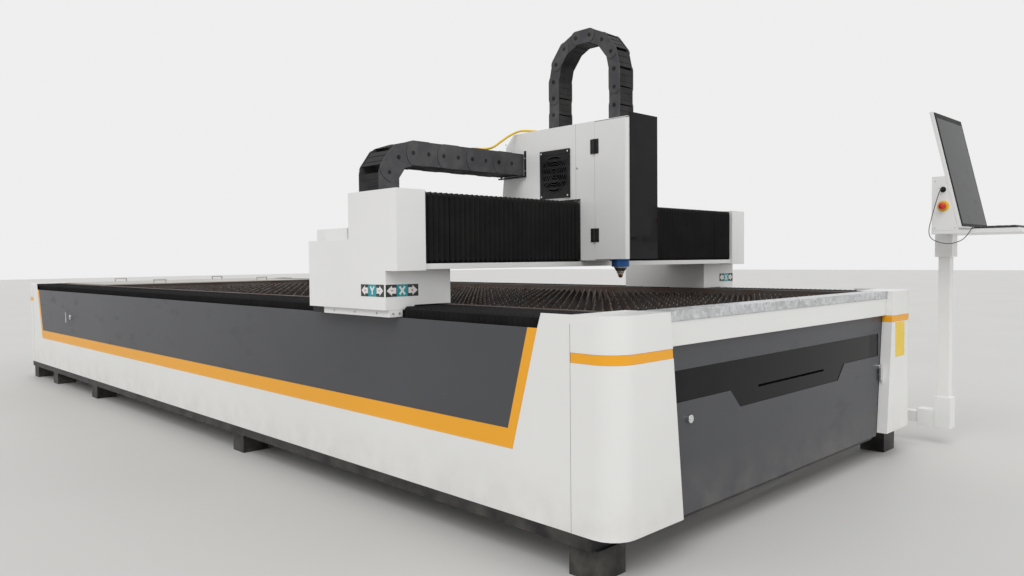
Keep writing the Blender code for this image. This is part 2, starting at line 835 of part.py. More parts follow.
def end_blocks(inset, reach_down):
    """Boxes that together make one gantry end, drawn in by an inset."""
    out = -gantry_overhang + inset
    lap = overrun
    front, rear = gantry_home + inset, gantry_rear - inset
    return [
        ((out, upper_inner - inset), (front, rear), (lower_bottom - reach_down, lower_top - inset)),
        ((upper_inner - lap - inset, lower_inner - inset), (front, rear),
         (lower_inner_bottom - reach_down, beam_seat - inset)),
        ((upper_inner - lap - inset, lower_inner - inset), (beam_tube_rear + overrun + inset, rear),
         (beam_seat - lap - inset, lower_top - inset)),
        ((out, upper_inner - inset), (upper_front + inset, upper_rear - inset),
         (beam_seat - beam_lip + inset, upper_top - inset)),
    ]


def build_gantry(gantry):
    """Saddles with drives, end housings, and the beam with its rails and chain tray."""
    pair("gantry_saddle", saddle_body, black_paint, gantry)
    pair("gantry_end", end_body, white_paint, gantry)
    ends = (upper_inner + touch, bed_width - upper_inner - touch)
    low = beam_seat + touch
    home = (0, gantry_home, 0)
    tube = piece("gantry_beam", shaped(slab, ends, (beam_tube_front, beam_tube_rear), (low, beam_top)),
                 white_paint, home, gantry)
    tube["place"] = home
    rail_inset = 0.016
    adds = [shaped(slab, ends, (beam_front, beam_tube_front + overrun), (low, beam_flange_top)),
            shaped(slab, (tray_start, tray_end), (beam_tube_rear - sheet, x_chain_rear + overrun),
                   (tray_top_height - tray_thickness, tray_top_height))]
    for height in (x_rail_lower, x_rail_upper):
        adds.append(shaped(slab, (ends[0] + rail_inset, ends[1] - rail_inset),
                           (x_rail_front, beam_tube_front + sheet), (height, height + x_rail_size)))
    combine(tube, "UNION", adds)
    combine(tube, "DIFFERENCE", [shaped(
        slab, (ends[0] - overrun, ends[1] + overrun),
        (beam_tube_front + beam_wall, beam_tube_rear - beam_wall), (low + beam_wall, beam_top - beam_wall))])


def end_body():
    """A gantry end: a hollow sheet housing open below, with a small box behind."""
    outer = [shaped(slab, *block) for block in end_blocks(0, 0)]
    inner = [shaped(slab, *block) for block in end_blocks(end_wall, overrun)]
    rear_box_length = 0.18
    rear_box_overhang = 0.09
    rear_box_inner = 0.03
    rear_box = shaped(slab, (rear_box_inner, lower_inner - 2 * overrun),
                      (gantry_rear - rear_box_length, gantry_rear + rear_box_overhang),
                      (lower_top - sheet / 2, tray_top_height - tray_thickness - touch))
    return outer[0], outer[1:] + [rear_box], inner


def saddle_body():
    """A plate with two guide blocks and the drive's motor, gearbox and pinion."""
    block_wall = 0.015
    block_length = 0.12
    block_inset = 0.03
    block_drop = 0.044
    gearbox = 0.045
    gearbox_drop = 0.075
    motor = 0.04
    motor_drop = 0.04
    gearbox_top = beam_seat - gearbox_drop
    motor_top = lower_top - motor_drop
    jaw = (y_rail_outer - block_wall, y_rail_outer + y_rail_width + block_wall)
    top = lower_bottom - touch
    plate = shaped(slab, (saddle_outer, saddle_inner), (gantry_home, gantry_rear), (saddle_bottom, top))
    adds = []
    for start in (gantry_home + block_inset, gantry_rear - block_inset - block_length):
        adds.append(shaped(slab, jaw, (start, start + block_length),
                           (saddle_bottom - block_drop, saddle_bottom + sheet)))
    drive_x, drive_y, radius = drive_place()
    low = rail_beam_top + rail_gap
    adds.append(shaped(rod, (drive_x, drive_y, low), radius, top - sheet - low))
    blocks = ((gearbox, top - sheet, gearbox_top), (motor, gearbox_top - sheet, motor_top))
    for half, bottom, height in blocks:
        adds.append(shaped(slab, (drive_x - half, drive_x + half), (drive_y - half, drive_y + half),
                           (bottom, height)))
    groove = shaped(slab, (y_rail_outer - touch, y_rail_outer + y_rail_width + touch),
                    (gantry_home - overrun, gantry_rear + overrun),
                    (saddle_bottom - block_drop - overrun, rail_beam_top + y_rail_height + touch))
    return plate, adds, [groove]


def drive_place():
    """Axis of a drive's pinion and its radius."""
    pinion_radius = 0.02
    mesh_gap = 0.001
    drive_offset = 0.392
    drive_x = y_rack_outer + y_rack_width + mesh_gap + pinion_radius
    return (drive_x, gantry_home + drive_offset, pinion_radius)


def build_x_bellows(name, start, end, gantry):
    """A bellows over the beam's rails on one side of the carriage."""
    low, high, front, rear = beam_flange_top + touch, beam_top, beam_front, beam_tube_front - touch

    def section(place, drawn):
        inset = bellows_fold * drawn
        wall = bellows_wall
        return [(place, y, z) for y, z in (
            (rear, low + inset), (front + inset, low + inset), (front + inset, high - inset),
            (rear, high - inset), (rear, high - inset - wall), (front + inset + wall, high - inset - wall),
            (front + inset + wall, low + inset + wall), (rear, low + inset + wall))]

    rings = fold_rings(section, start, end, x_bellows_pitch)
    piece(name, shaped(loft, rings), bellows_black, (start, gantry_home, 0), gantry)


def housing_outline(inset):
    """Side outline of the carriage housing in Y and Z, drawn in by an inset."""
    rear = gantry_home + housing_rear_offset
    tail_low = 0.037
    shoulder_y = 0.034
    shoulder_drop = 0.065
    bevel_y = 0.094
    bevel_drop = 0.003
    flat_y = 0.217
    return [
        (housing_seam, housing_bottom), (beam_front - beam_gap, housing_bottom),
        (beam_front - beam_gap, housing_over_beam), (rear - tail_low, housing_over_beam),
        (rear - inset, housing_over_beam + tail_low),
        (rear - shoulder_y - inset, housing_top - shoulder_drop),
        (rear - bevel_y - inset / 2, housing_top - bevel_drop - inset), (rear - flat_y, housing_top - inset),
        (housing_seam, housing_top - inset)]


def build_housing(carriage):
    """Carriage housing: an open shell that straddles the beam, with a roof over the nose."""
    home = (carriage_home, gantry_home, 0)
    shell = piece("carriage_housing", shaped(prism, housing_outline(0), "X", carriage_home, carriage_right),
                  white_paint, home, carriage)
    shell["place"] = home
    roof = shaped(slab, (carriage_home, carriage_right),
                  (nose_front_y + nose_glass_thickness + sheet, housing_seam + overrun),
                  (housing_top - sheet, housing_top))
    combine(shell, "UNION", [roof])
    hinges = nose_hinges()
    inner = [(y - 2 * overrun if y == housing_seam else y, z) for y, z in housing_outline(sheet)]
    inner = [(y, z - 2 * overrun if z in (housing_bottom, housing_over_beam) else z) for y, z in inner]
    inner = [(y + 2 * overrun if y == beam_front - beam_gap else y, z) for y, z in inner]
    clearance = 0.004
    chain_hole = shaped(slab, (z_chain_left - clearance, z_chain_right + clearance),
                        (z_chain_y - z_chain_outer - clearance, z_chain_y - z_chain_inner + clearance),
                        (housing_top - overrun, housing_top + overrun))
    combine(shell, "DIFFERENCE", [
        shaped(prism, inner, "X", carriage_home + sheet, carriage_right - sheet), chain_hole])
    combine(shell, "UNION", hinges)

    grille_front = 0.006
    grille_rear = 0.204
    grille_rise = 0.012
    grille_drop = 0.12
    grille_low = housing_over_beam + grille_rise
    grille_high = housing_top - grille_drop
    grille_depth = 0.01
    bars = 6
    left = carriage_home - touch - grille_depth
    grille = piece("fan_grille", shaped(
        slab, (left, carriage_home - touch), (gantry_home - grille_front, gantry_home + grille_rear),
        (grille_low, grille_high)), black_paint, home, carriage)
    grille["place"] = home
    step = (grille_high - grille_low) / (bars + 1)
    slots = [shaped(slab, (left - overrun, carriage_home), (gantry_home + 2 * grille_front,
                                                           gantry_home + grille_rear - 3 * grille_front),
                    (grille_low + (index + 2 / 3) * step, grille_low + (index + 4 / 3) * step))
             for index in range(bars)]
    combine(grille, "DIFFERENCE", slots)


def build_slide(carriage):
    """Carriage plate with guide blocks on the beam's rails, end plates and upright rails."""
    home = (carriage_home, gantry_home, 0)
    end_plate = 0.004
    front = beam_front - slide_gap
    plate_rear = front + 0.026
    rear = beam_tube_front - sheet
    block_length = 0.07
    upright_inset = 0.026
    upright_drop = 0.07
    upright_top = housing_top - upright_drop
    low = beam_flange_top + touch
    inner = (carriage_home + end_plate, carriage_right - end_plate)
    plate = shaped(slab, (carriage_home, carriage_right), (front, plate_rear), (low, beam_top))
    thing = piece("carriage_slide", plate, bare_steel, home, carriage)
    thing["place"] = home
    adds = [shaped(slab, (inner[0] + upright_inset, inner[1] - upright_inset),
                   (front, plate_rear - sheet), (beam_top - overrun, upright_top))]
    for start in (carriage_home, carriage_right - end_plate):
        adds.append(shaped(slab, (start, start + end_plate), (plate_rear - sheet, rear), (low, beam_top)))
    jaw = 0.012
    for height in (x_rail_lower, x_rail_upper):
        for start in (inner[0] + jaw, inner[1] - jaw - block_length):
            adds.append(shaped(slab, (start, start + block_length), (plate_rear - sheet, rear),
                               (height - jaw, height + x_rail_size + jaw)))
    for across in upright_rails():
        adds.append(shaped(slab, across, (front - z_rail_depth, front + sheet),
                           (low + overrun, upright_top - overrun)))
    combine(thing, "UNION", adds)
    grooves = [shaped(slab, (carriage_home - overrun, carriage_right + overrun),
                      (x_rail_front - touch, beam_tube_front),
                      (height - touch, height + x_rail_size + touch))
               for height in (x_rail_lower, x_rail_upper)]
    combine(thing, "DIFFERENCE", grooves)


z_rail_depth = 0.015
z_rail_width = 0.015
z_rail_spread = 0.062


def upright_rails():
    """Extents across of the two upright rails."""
    middle = head_x
    return [(middle - z_rail_spread - z_rail_width / 2, middle - z_rail_spread + z_rail_width / 2),
            (middle + z_rail_spread - z_rail_width / 2, middle + z_rail_spread + z_rail_width / 2)]


def screw_place():
    """Axis of the ball screw and its radius."""
    screw_gap = 0.065
    return head_x, beam_front - screw_gap, 0.009


def build_z_motor(carriage):
    """Motor and ball screw that lift the slide, fixed to the upright plate."""
    screw_x, screw_y, radius = screw_place()
    screw_rise = 0.105
    motor_drop = 0.025
    motor_height = 0.1
    motor = 0.036
    low = beam_seat + screw_rise
    motor_top = housing_top - motor_drop
    motor_low = motor_top - motor_height
    rear = beam_front - slide_gap - touch
    shape = shaped(rod, (screw_x, screw_y, low), radius, motor_low + sheet - low)
    body = shaped(slab, (screw_x - motor, screw_x + motor), (screw_y - motor, screw_y + motor),
                  (motor_low, motor_top))
    foot_rise = 0.04
    foot = shaped(slab, (screw_x - motor, screw_x + motor), (screw_y, rear),
                  (motor_low, motor_low + foot_rise))
    thing = piece("z_motor", shape, black_paint, (carriage_home, gantry_home, 0), carriage)
    thing["place"] = (carriage_home, gantry_home, 0)
    combine(thing, "UNION", [body, foot])


def build_head(lift):
    """The sliding plate with its jaws and arms, and the cutting head."""
    point = (head_x, head_y, head_tip)
    rear = beam_front - slide_gap - z_rail_depth - touch
    plate = 0.022
    plate_height = 0.35
    low = z_chain_foot - plate_height
    top = z_chain_foot - touch
    half = 0.076
    front = rear - plate
    thing = piece("z_slide", shaped(slab, (head_x - half, head_x + half), (front, rear), (low, top)),
                  bare_steel, point, lift)
    thing["place"] = point
    jaw = 0.012
    jaw_depth = 0.011
    adds = []
    for left, right in upright_rails():
        side = (left - touch - jaw, left - touch) if left < head_x else (right + touch, right + touch + jaw)
        adds.append(shaped(slab, side, (rear - sheet, rear + jaw_depth), (low, top)))
    arm_lift = 0.05
    arm_rise = 0.12
    arm_low = low + arm_lift
    arm_half = 0.055
    arm_reach = head_y + head_radius / 3
    adds.append(shaped(slab, (head_x - arm_half, head_x + arm_half), (arm_reach, front + sheet),
                       (arm_low, arm_low + arm_rise)))
    shelf = 0.015
    adds.append(shaped(slab, (z_chain_left, z_chain_right), (z_chain_y - z_chain_outer, front + sheet),
                       (top - shelf, top)))
    combine(thing, "UNION", adds)
    screw_x, screw_y, radius = screw_place()
    combine(thing, "DIFFERENCE", [
        shaped(rod, (screw_x, screw_y, low - overrun), radius + touch, top - low + 2 * overrun),
        shaped(rod, (head_x, head_y, arm_low - overrun), head_radius + touch, arm_rise + 2 * overrun)])
    build_cutting_head(point, lift)


def build_cutting_head(point, lift):
    """The turned cutting head, from the nozzle tip to the fibre collar."""
    nozzle = ((0.003, 0), (0.010, 0.022), (0.016, 0.026), (0.016, 0.042), (0.030, 0.056), (0.030, 0.096))
    body_height = 0.505
    collar_height = 0.06
    collar_radius = 0.03
    body_top = head_tip + body_height
    collar_top = body_top + collar_height
    profile = [(radius, head_tip + rise) for radius, rise in nozzle]
    profile += [(head_radius, head_tip + nozzle[-1][1] + overrun), (head_radius, body_top),
                (collar_radius, body_top), (collar_radius, collar_top)]
    sides = 16
    shape = bmesh.new()
    rings = []
    for radius, height in profile:
        rings.append([(head_x + radius * math.cos(2 * math.pi * side / sides),
                       head_y + radius * math.sin(2 * math.pi * side / sides), height)
                      for side in range(sides)])
    loft(shape, rings)
    piece("cutting_head", shape, blue_paint, point, lift, smooth=True)


def build_nose(carriage):
    """The hinged nose cover with its glossy front."""
    point = (carriage_home - nose_hinge_out, housing_seam, nose_bottom)
    swing = mover("nose_cover_pivot", point, carriage)
    wall = sheet - touch * 2
    front = nose_front_y + nose_glass_thickness + touch
    outer, inner = [], []
    turns = 3
    for points, inset in ((outer, 0), (inner, wall)):
        rear = housing_seam - touch
        left, right, near = carriage_home + inset, carriage_right - inset, front + inset
        size = nose_radius - inset
        points.append((left, rear))
        for corner_x, start in ((left + size, math.pi), (right - size, 3 * math.pi / 2)):
            for turn in range(turns + 1):
                angle = start + turn * math.pi / 2 / turns
                points.append((corner_x + size * math.cos(angle), near + size + size * math.sin(angle)))
        points.append((right, rear))
    cover = shaped(prism, outer + inner[::-1], "Z", nose_bottom, nose_top)
    thing = piece("nose_cover", cover, white_paint, point, swing)
    thing["place"] = point
    combine(thing, "UNION", [shaped(
        slab, (carriage_home - hinge_leaf, carriage_home + wall / 2),
        (housing_seam - hinge_reach, housing_seam - nose_hinge_out - sheet), heights)
        for heights in nose_hinge_places()])

    glass = shaped(slab, (carriage_home + nose_glass_inset, carriage_right),
                   (nose_front_y, nose_front_y + nose_glass_thickness), (nose_bottom, nose_glass_top))
    piece("nose_front", glass, gloss_black, point, swing)


def nose_hinge_places():
    """Lowest and highest place of each hinge of the nose cover."""
    return [(nose_bottom + low, nose_bottom + high) for low, high in nose_hinge_rises]


def nose_hinges():
    """Barrels of the nose cover's two hinges, with their leaves on the housing."""
    shapes = []
    for low, high in nose_hinge_places():
        shapes.append(shaped(rod, (carriage_home - nose_hinge_out, housing_seam, low),
                             nose_hinge_out - 2 * touch, high - low, sides=12))
        shapes.append(shaped(slab, (carriage_home - hinge_leaf, carriage_home + sheet / 2),
                             (housing_seam + touch, housing_seam + hinge_reach),
                             (low + sheet, high - sheet)))
    return shapes


def chain_run(start, end, low, high):
    """Outline of a straight run of links, notched at each joint between links."""
    count = max(1, round((end - start) / chain_pitch))
    step = (end - start) / count
    joints = [start + step * index for index in range(1, count)]
    bottom, top = [(start, low)], [(start, high)]
    for place in joints:
        bottom += [(place - chain_notch, low), (place, low + chain_notch), (place + chain_notch, low)]
        top += [(place - chain_notch, high), (place, high - chain_notch), (place + chain_notch, high)]
    return bottom + [(end, low), (end, high)] + top[::-1]


def chain_bend(across, height, inner, outer, start_angle):
    """Outline of half a turn of links around a centre."""
    count = max(4, round(math.pi * (inner + outer) / 2 / chain_pitch))
    loop_out, loop_in = [], []
    for index in range(2 * count + 1):
        angle = start_angle + math.pi * index / (2 * count)
        joint = index % 2 == 0 and 0 < index < 2 * count
        far = outer - chain_notch if joint else outer
        near = inner + chain_notch / 2 if joint else inner
        loop_out.append((across + far * math.cos(angle), height + far * math.sin(angle)))
        loop_in.append((across + near * math.cos(angle), height + near * math.sin(angle)))
    return loop_out + loop_in[::-1]


def build_x_chain(gantry):
    """Cable chain behind the beam: fixed lower run, moving bend and upper run."""
    low = x_chain_centre_height - x_chain_outer
    lower = (low, x_chain_centre_height - x_chain_inner)
    upper = (x_chain_centre_height + x_chain_inner, x_chain_centre_height + x_chain_outer)
    start = x_chain_centre_x + touch
    home = (0, gantry_home, 0)
    for name, end, heights in (("x_chain_lower", x_chain_fixed_end, lower),
                               ("x_chain_upper", carriage_home - touch, upper)):
        run = shaped(prism, chain_run(start, end, *heights), "Y", x_chain_front, x_chain_rear)
        piece(name, run, chain_black, home, gantry)
    point = (x_chain_centre_x, gantry_home, x_chain_centre_height)
    slide = mover("x_chain_slide", point, gantry)
    bend = chain_bend(x_chain_centre_x, x_chain_centre_height, x_chain_inner, x_chain_outer, math.pi / 2)
    piece("x_chain_bend", shaped(prism, bend, "Y", x_chain_front, x_chain_rear), chain_black, point, slide)


def build_z_chain(carriage):
    """Cable chain that arches over the carriage, from the housing's roof to the sliding plate."""
    across = (z_chain_left, z_chain_right)
    home = (carriage_home, gantry_home, 0)
    top = z_chain_centre_height - touch
    back = chain_run(housing_top + touch, top, z_chain_y + z_chain_inner, z_chain_y + z_chain_outer)
    front = chain_run(z_chain_foot, top, z_chain_y - z_chain_outer, z_chain_y - z_chain_inner)
    for name, run in (("z_chain_back", back), ("z_chain_front", front)):
        outline = [(y, z) for z, y in run]
        piece(name, shaped(prism, outline, "X", *across), chain_black, home, carriage)
    point = (z_chain_left, z_chain_y, z_chain_centre_height)
    slide = mover("z_chain_slide", point, carriage)
    bend = chain_bend(z_chain_y, z_chain_centre_height, z_chain_inner, z_chain_outer, 0)
    piece("z_chain_bend", shaped(prism, bend, "X", *across), chain_black, point, slide)


def build_pendant_stand():
    """Arm from the bed's right side to the column, and the column."""
    half = arm_fitting_size / 2
    tube = column_size / 2
    flange = 0.012
    flange_half = 0.08
    tube_y = 0.37
    tube_height = arm_bottom + 0.05
    sleeve_rear = 0.045
    sleeve_top = 0.205
    side = bed_width + touch
    shape = shaped(slab, (column_x - half, column_x + half), (column_y - half, column_y + half),
                   (arm_bottom, arm_fitting_top))
    adds = [
        shaped(slab, (column_x - half + sheet, column_x + half - sheet), (column_y, sleeve_rear),
               (arm_bottom + sheet, sleeve_top)),
        shaped(slab, (column_x - tube, column_x + tube), (sleeve_rear - overrun, tube_y + tube),
               (tube_height - tube, tube_height + tube)),
        shaped(slab, (side + flange - sheet, column_x), (tube_y - tube + sheet, tube_y + tube - sheet),
               (tube_height - tube + sheet, tube_height + tube - sheet)),
        shaped(slab, (side, side + flange), (tube_y - flange_half, tube_y + flange_half),
               (arm_bottom, sleeve_top)),
    ]
    adds.append(shaped(slab, (column_x - tube, column_x + tube), (column_y - tube, column_y + tube),
                       (arm_fitting_top - overrun, column_top)))
    combine(piece("pendant_stand", shape, white_paint), "UNION", adds)


def monitor_line(height):
    """Place of the monitor's back face at a height."""
    normal = screen_thickness + monitor_thickness
    foot = monitor_foot_y + normal * math.cos(monitor_lean)
    foot_height = monitor_foot_height - normal * math.sin(monitor_lean)
    return foot + (height - foot_height) * math.tan(monitor_lean)


def leaning_plate(near, far, margin):
    """Side outline of a leaning plate between two depths behind the screen's face."""
    along = Vector((math.sin(monitor_lean), math.cos(monitor_lean)))
    inward = Vector((math.cos(monitor_lean), -math.sin(monitor_lean)))
    foot = Vector((monitor_foot_y, monitor_foot_height))
    return [tuple(foot + along * reach + inward * depth) for reach, depth in (
        (margin, near), (margin, far), (monitor_length - margin, far), (monitor_length - margin, near))]


def build_pendant_head():
    """What turns on the column: tray with its swivel cap, box, monitor, keyboard, stop button and plug."""
    point = (column_x, column_y, column_top)
    turner = mover("pendant_pivot", point)
    across = (pendant_left, pendant_right)
    half = cap_size / 2
    shelf_thickness = 0.018
    plate = shaped(slab, across, (tray_front, tray_rear), (tray_top - shelf_thickness, tray_top))
    shelf = piece("keyboard_tray", plate, white_paint, point, turner)
    shelf["place"] = point
    cap = shaped(slab, (column_x - half, column_x + half), (column_y - half, column_y + half),
                 (column_top + touch, tray_top - shelf_thickness / 2))
    combine(shelf, "UNION", [cap])

    low = tray_top + touch
    outline = [(monitor_line(low) + 2 * touch, low), (tray_rear, low), (tray_rear, pendant_box_top),
               (monitor_line(pendant_box_top) + touch, pendant_box_top)]
    box = piece("pendant_box", shaped(prism, outline, "X", *across), white_paint, point, turner)
    box["place"] = point
    stem = 0.01
    bore_depth = 0.02
    combine(box, "DIFFERENCE", [shaped(
        rod, (pendant_left - overrun, estop_y, estop_height), stem + 2 * touch, bore_depth + overrun, "X")])
    case = leaning_plate(screen_thickness + touch, screen_thickness + monitor_thickness, 0)
    piece("monitor_housing", shaped(prism, case, "X", *across), white_paint, point, turner)
    rim = 0.006
    piece("monitor_screen", shaped(prism, leaning_plate(0, screen_thickness, rim), "X",
                                   pendant_left + rim, pendant_right - rim), gloss_black, point, turner)

    board_front, board_rear, board_inset = 0.018, 0.24, 0.005
    board_low, board_high = 0.008, 0.02
    board = [(tray_front + board_front, low), (tray_front + board_rear, low),
             (tray_front + board_rear, tray_top + board_high),
             (tray_front + board_front, tray_top + board_low)]
    piece("keyboard", shaped(prism, board, "X", pendant_left + board_inset, pendant_right - 3 * board_inset),
          black_paint, point, turner)

    knob_radius, knob_depth, knob_out = 0.02, 0.018, 0.035
    press = mover("estop_pivot", (pendant_left, estop_y, estop_height), turner)
    place = (pendant_left, estop_y, estop_height)
    knob = piece("estop_button", shaped(rod, (pendant_left - knob_out, estop_y, estop_height), knob_radius,
                                        knob_depth, "X"), red_plastic, place, press)
    knob["place"] = place
    shaft = shaped(rod, (pendant_left - knob_out + knob_depth / 2, estop_y, estop_height), stem,
                   knob_out - knob_depth / 2 + sheet, "X")
    combine(knob, "UNION", [shaft])
    plug_radius, plug_length = 0.008, 0.025
    piece("usb_plug", shaped(rod, (pendant_left - touch - plug_length, usb_y, usb_height), plug_radius,
                             plug_length, "X", sides=12), black_paint, point, turner)
    build_cord("keyboard_cord", keyboard_cord_points, keyboard_cord_diameter, black_paint, turner)


def smooth_route(points, per_span):
    """Points read from a smooth curve through the route's own points."""
    route = [Vector(point) for point in points]
    padded = [2 * route[0] - route[1]] + route + [2 * route[-1] - route[-2]]
    result = []
    for index in range(1, len(padded) - 2):
        before, here, after, beyond = padded[index - 1:index + 3]
        for step in range(per_span):
            t = step / per_span
            bow = 2 * before - 5 * here + 4 * after - beyond
            twist = 3 * here - before - 3 * after + beyond
            result.append((2 * here + (after - before) * t + bow * t ** 2 + twist * t ** 3) / 2)
    return result + [route[-1]]


def build_cord(name, points, diameter, look, carrier):
    """A round cord along its route."""
    origin = Vector(carrier["place"])
    curve = bpy.data.curves.new(name, "CURVE")
    curve.dimensions = "3D"
    curve.bevel_depth = diameter / 2
    curve.bevel_resolution = 2
    curve.use_fill_caps = True
    path = smooth_route(points, 2)
    line = curve.splines.new("POLY")
    line.points.add(len(path) - 1)
    for target, place in zip(line.points, path):
        target.co = (*(place - origin), 1)
    thing = bpy.data.objects.new(name, curve)
    parts.objects.link(thing)
    hold(thing, origin, carrier)
    paint(thing, look)


def build_machine():
    """Build every piece, from the bed up."""
    build_frame()
    build_posts()
    build_side_walls()
    build_side_latch()
    build_front_end()
    build_door()
    build_table()
    rear_end = bed_length - bellows_inset
    for side in ("left", "right"):
        build_y_bellows(f"y_bellows_front_{side}", bellows_inset, gantry_home - touch, side == "left")
        build_y_bellows(f"y_bellows_rear_{side}", gantry_rear + touch, rear_end, side == "left")
    gantry = mover("gantry_slide", (0, gantry_home, 0))
    build_gantry(gantry)
    build_x_bellows("x_bellows_left", upper_inner + touch, carriage_home - touch, gantry)
    build_x_bellows("x_bellows_right", carriage_right + touch, bed_width - upper_inner - touch, gantry)
    build_x_chain(gantry)
    carriage = mover("carriage_slide_pivot", (carriage_home, gantry_home, 0), gantry)
    build_housing(carriage)
    build_slide(carriage)
    build_z_motor(carriage)
    build_nose(carriage)
    build_z_chain(carriage)
    build_cord("fibre_cable", fibre_points, fibre_diameter, yellow_paint, carriage)
    build_head(mover("head_slide", (head_x, head_y, head_tip), carriage))
    build_pendant_stand()
    build_pendant_head()


build_machine()
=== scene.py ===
import math
import random

import bmesh
import bpy
from mathutils import Matrix, Vector


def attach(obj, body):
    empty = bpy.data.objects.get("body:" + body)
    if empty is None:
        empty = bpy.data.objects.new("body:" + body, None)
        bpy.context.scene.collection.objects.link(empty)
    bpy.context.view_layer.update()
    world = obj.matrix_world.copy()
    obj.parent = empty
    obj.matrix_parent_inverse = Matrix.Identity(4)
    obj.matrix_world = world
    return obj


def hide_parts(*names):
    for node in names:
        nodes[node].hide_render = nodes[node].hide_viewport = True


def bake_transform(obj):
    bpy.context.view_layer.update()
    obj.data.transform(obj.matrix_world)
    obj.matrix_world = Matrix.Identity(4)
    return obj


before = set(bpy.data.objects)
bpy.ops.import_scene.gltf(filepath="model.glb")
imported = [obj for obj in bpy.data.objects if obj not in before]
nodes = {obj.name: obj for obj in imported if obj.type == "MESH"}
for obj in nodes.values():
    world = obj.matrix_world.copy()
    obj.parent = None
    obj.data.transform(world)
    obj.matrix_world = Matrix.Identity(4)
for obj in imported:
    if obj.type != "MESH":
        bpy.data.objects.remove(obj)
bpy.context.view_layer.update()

# Looks of a flat bed laser cutter, in metres. X runs across the bed, Y along it away from the front, Z up.
scene = bpy.context.scene
scene.view_settings.view_transform = "Standard"

# camera at the photo's angle
cameraLook = {"place": (-3.5509, -4.9628, 1.0937), "yaw": 0.7736, "pitch": -0.0362, "roll": -0.0097,
    "lens": 27.69, "sensor": 36.0, "farthest": 200}


def makeCamera():
    look = cameraLook
    data = bpy.data.cameras.new("photoCamera")
    data.lens, data.sensor_width, data.clip_end = look["lens"], look["sensor"], look["farthest"]
    camera = bpy.data.objects.new("photoCamera", data)
    scene.collection.objects.link(camera)
    yaw, pitch, roll = look["yaw"], look["pitch"], look["roll"]
    ahead = Vector((math.sin(yaw) * math.cos(pitch), math.cos(yaw) * math.cos(pitch), math.sin(pitch)))
    right = Vector((math.cos(yaw), -math.sin(yaw), 0))
    up = right.cross(ahead)
    sideways = math.cos(roll) * right + math.sin(roll) * up
    upward = -math.sin(roll) * right + math.cos(roll) * up
    turn = Matrix((sideways, upward, -ahead)).transposed().to_4x4()
    camera.matrix_world = Matrix.Translation(look["place"]) @ turn
    scene.camera = camera


# shader helpers
def setValue(socket, value):
    # colours are written as three numbers
    socket.default_value = (*value, 1.0) if socket.type == "RGBA" else value


def node(tree, kind, wires=None, **settings):
    made = tree.nodes.new(kind)
    for key, value in settings.items():
        setattr(made, key, value)
    for key, value in (wires or {}).items():
        if isinstance(value, bpy.types.NodeSocket):
            tree.links.new(value, made.inputs[key])
        else:
            setValue(made.inputs[key], value)
    return made


def mathNode(tree, operation, a, b):
    return node(tree, "ShaderNodeMath", {0: a, 1: b}, operation=operation).outputs[0]


def plus(tree, a, b):
    return mathNode(tree, "ADD", a, b)


def times(tree, a, b):
    return mathNode(tree, "MULTIPLY", a, b)


def larger(tree, a, b):
    return mathNode(tree, "MAXIMUM", a, b)


# soft light: an even sky and two wide suns, while the camera, gloss and glass see a plain backdrop
lightLook = {"sky": 0.62, "backdrop": 0.86, "spread": 0.7, "key": 1.25, "keyFrom": (-0.75, -0.42, 0.95),
    "fill": 0.45, "fillFrom": (0.5, -0.9, 0.5)}


def makeSun(kind):
    data = bpy.data.lights.new(kind + "Light", "SUN")
    data.energy, data.angle = lightLook[kind], lightLook["spread"]
    lamp = bpy.data.objects.new(kind + "Light", data)
    lamp.rotation_mode = "QUATERNION"
    lamp.rotation_quaternion = Vector(lightLook[kind + "From"]).to_track_quat("Z", "Y")
    scene.collection.objects.link(lamp)


def makeSky():
    world = bpy.data.worlds.new("studioSky")
    scene.world = world
    world.use_nodes = True
    tree = world.node_tree
    tree.nodes.clear()
    rays = node(tree, "ShaderNodeLightPath").outputs
    seen = larger(tree, rays["Is Camera Ray"], rays["Is Glossy Ray"])
    seen = larger(tree, seen, rays["Is Transmission Ray"])
    sky = node(tree, "ShaderNodeBackground", {"Color": (1, 1, 1), "Strength": lightLook["sky"]})
    backdrop = node(tree, "ShaderNodeBackground", {"Color": (lightLook["backdrop"],) * 3, "Strength": 1.0})
    mix = node(tree, "ShaderNodeMixShader", {0: seen, 1: sky.outputs[0], 2: backdrop.outputs[0]})
    node(tree, "ShaderNodeOutputWorld", {"Surface": mix.outputs[0]})


makeCamera()
makeSky()
makeSun("key")
makeSun("fill")
print("stage: camera, light and sky")


# shader groups: each puts out a colour, a roughness and a normal
def newGroup(name, inputs):
    tree = bpy.data.node_groups.new(name, "ShaderNodeTree")
    for label, value in inputs.items():
        kind = "Color" if label.endswith("Color") else "Float" if isinstance(value, float) else "Vector"
        socket = tree.interface.new_socket(name=label, in_out="INPUT", socket_type="NodeSocket" + kind)
        socket.default_value = (*value, 1.0) if kind == "Color" else value
    for label, kind in (("Color", "Color"), ("Roughness", "Float"), ("Normal", "Vector")):
        tree.interface.new_socket(name=label, in_out="OUTPUT", socket_type="NodeSocket" + kind)
    return tree, tree.nodes.new("NodeGroupInput").outputs


def endGroup(tree, color, roughness, normal):
    node(tree, "NodeGroupOutput", {0: color, 1: roughness, 2: normal})
    return tree


def objectPlace(tree):
    return node(tree, "ShaderNodeTexCoord").outputs["Object"]


def heightOf(tree):
    return node(tree, "ShaderNodeSeparateXYZ", {0: objectPlace(tree)}).outputs[2]


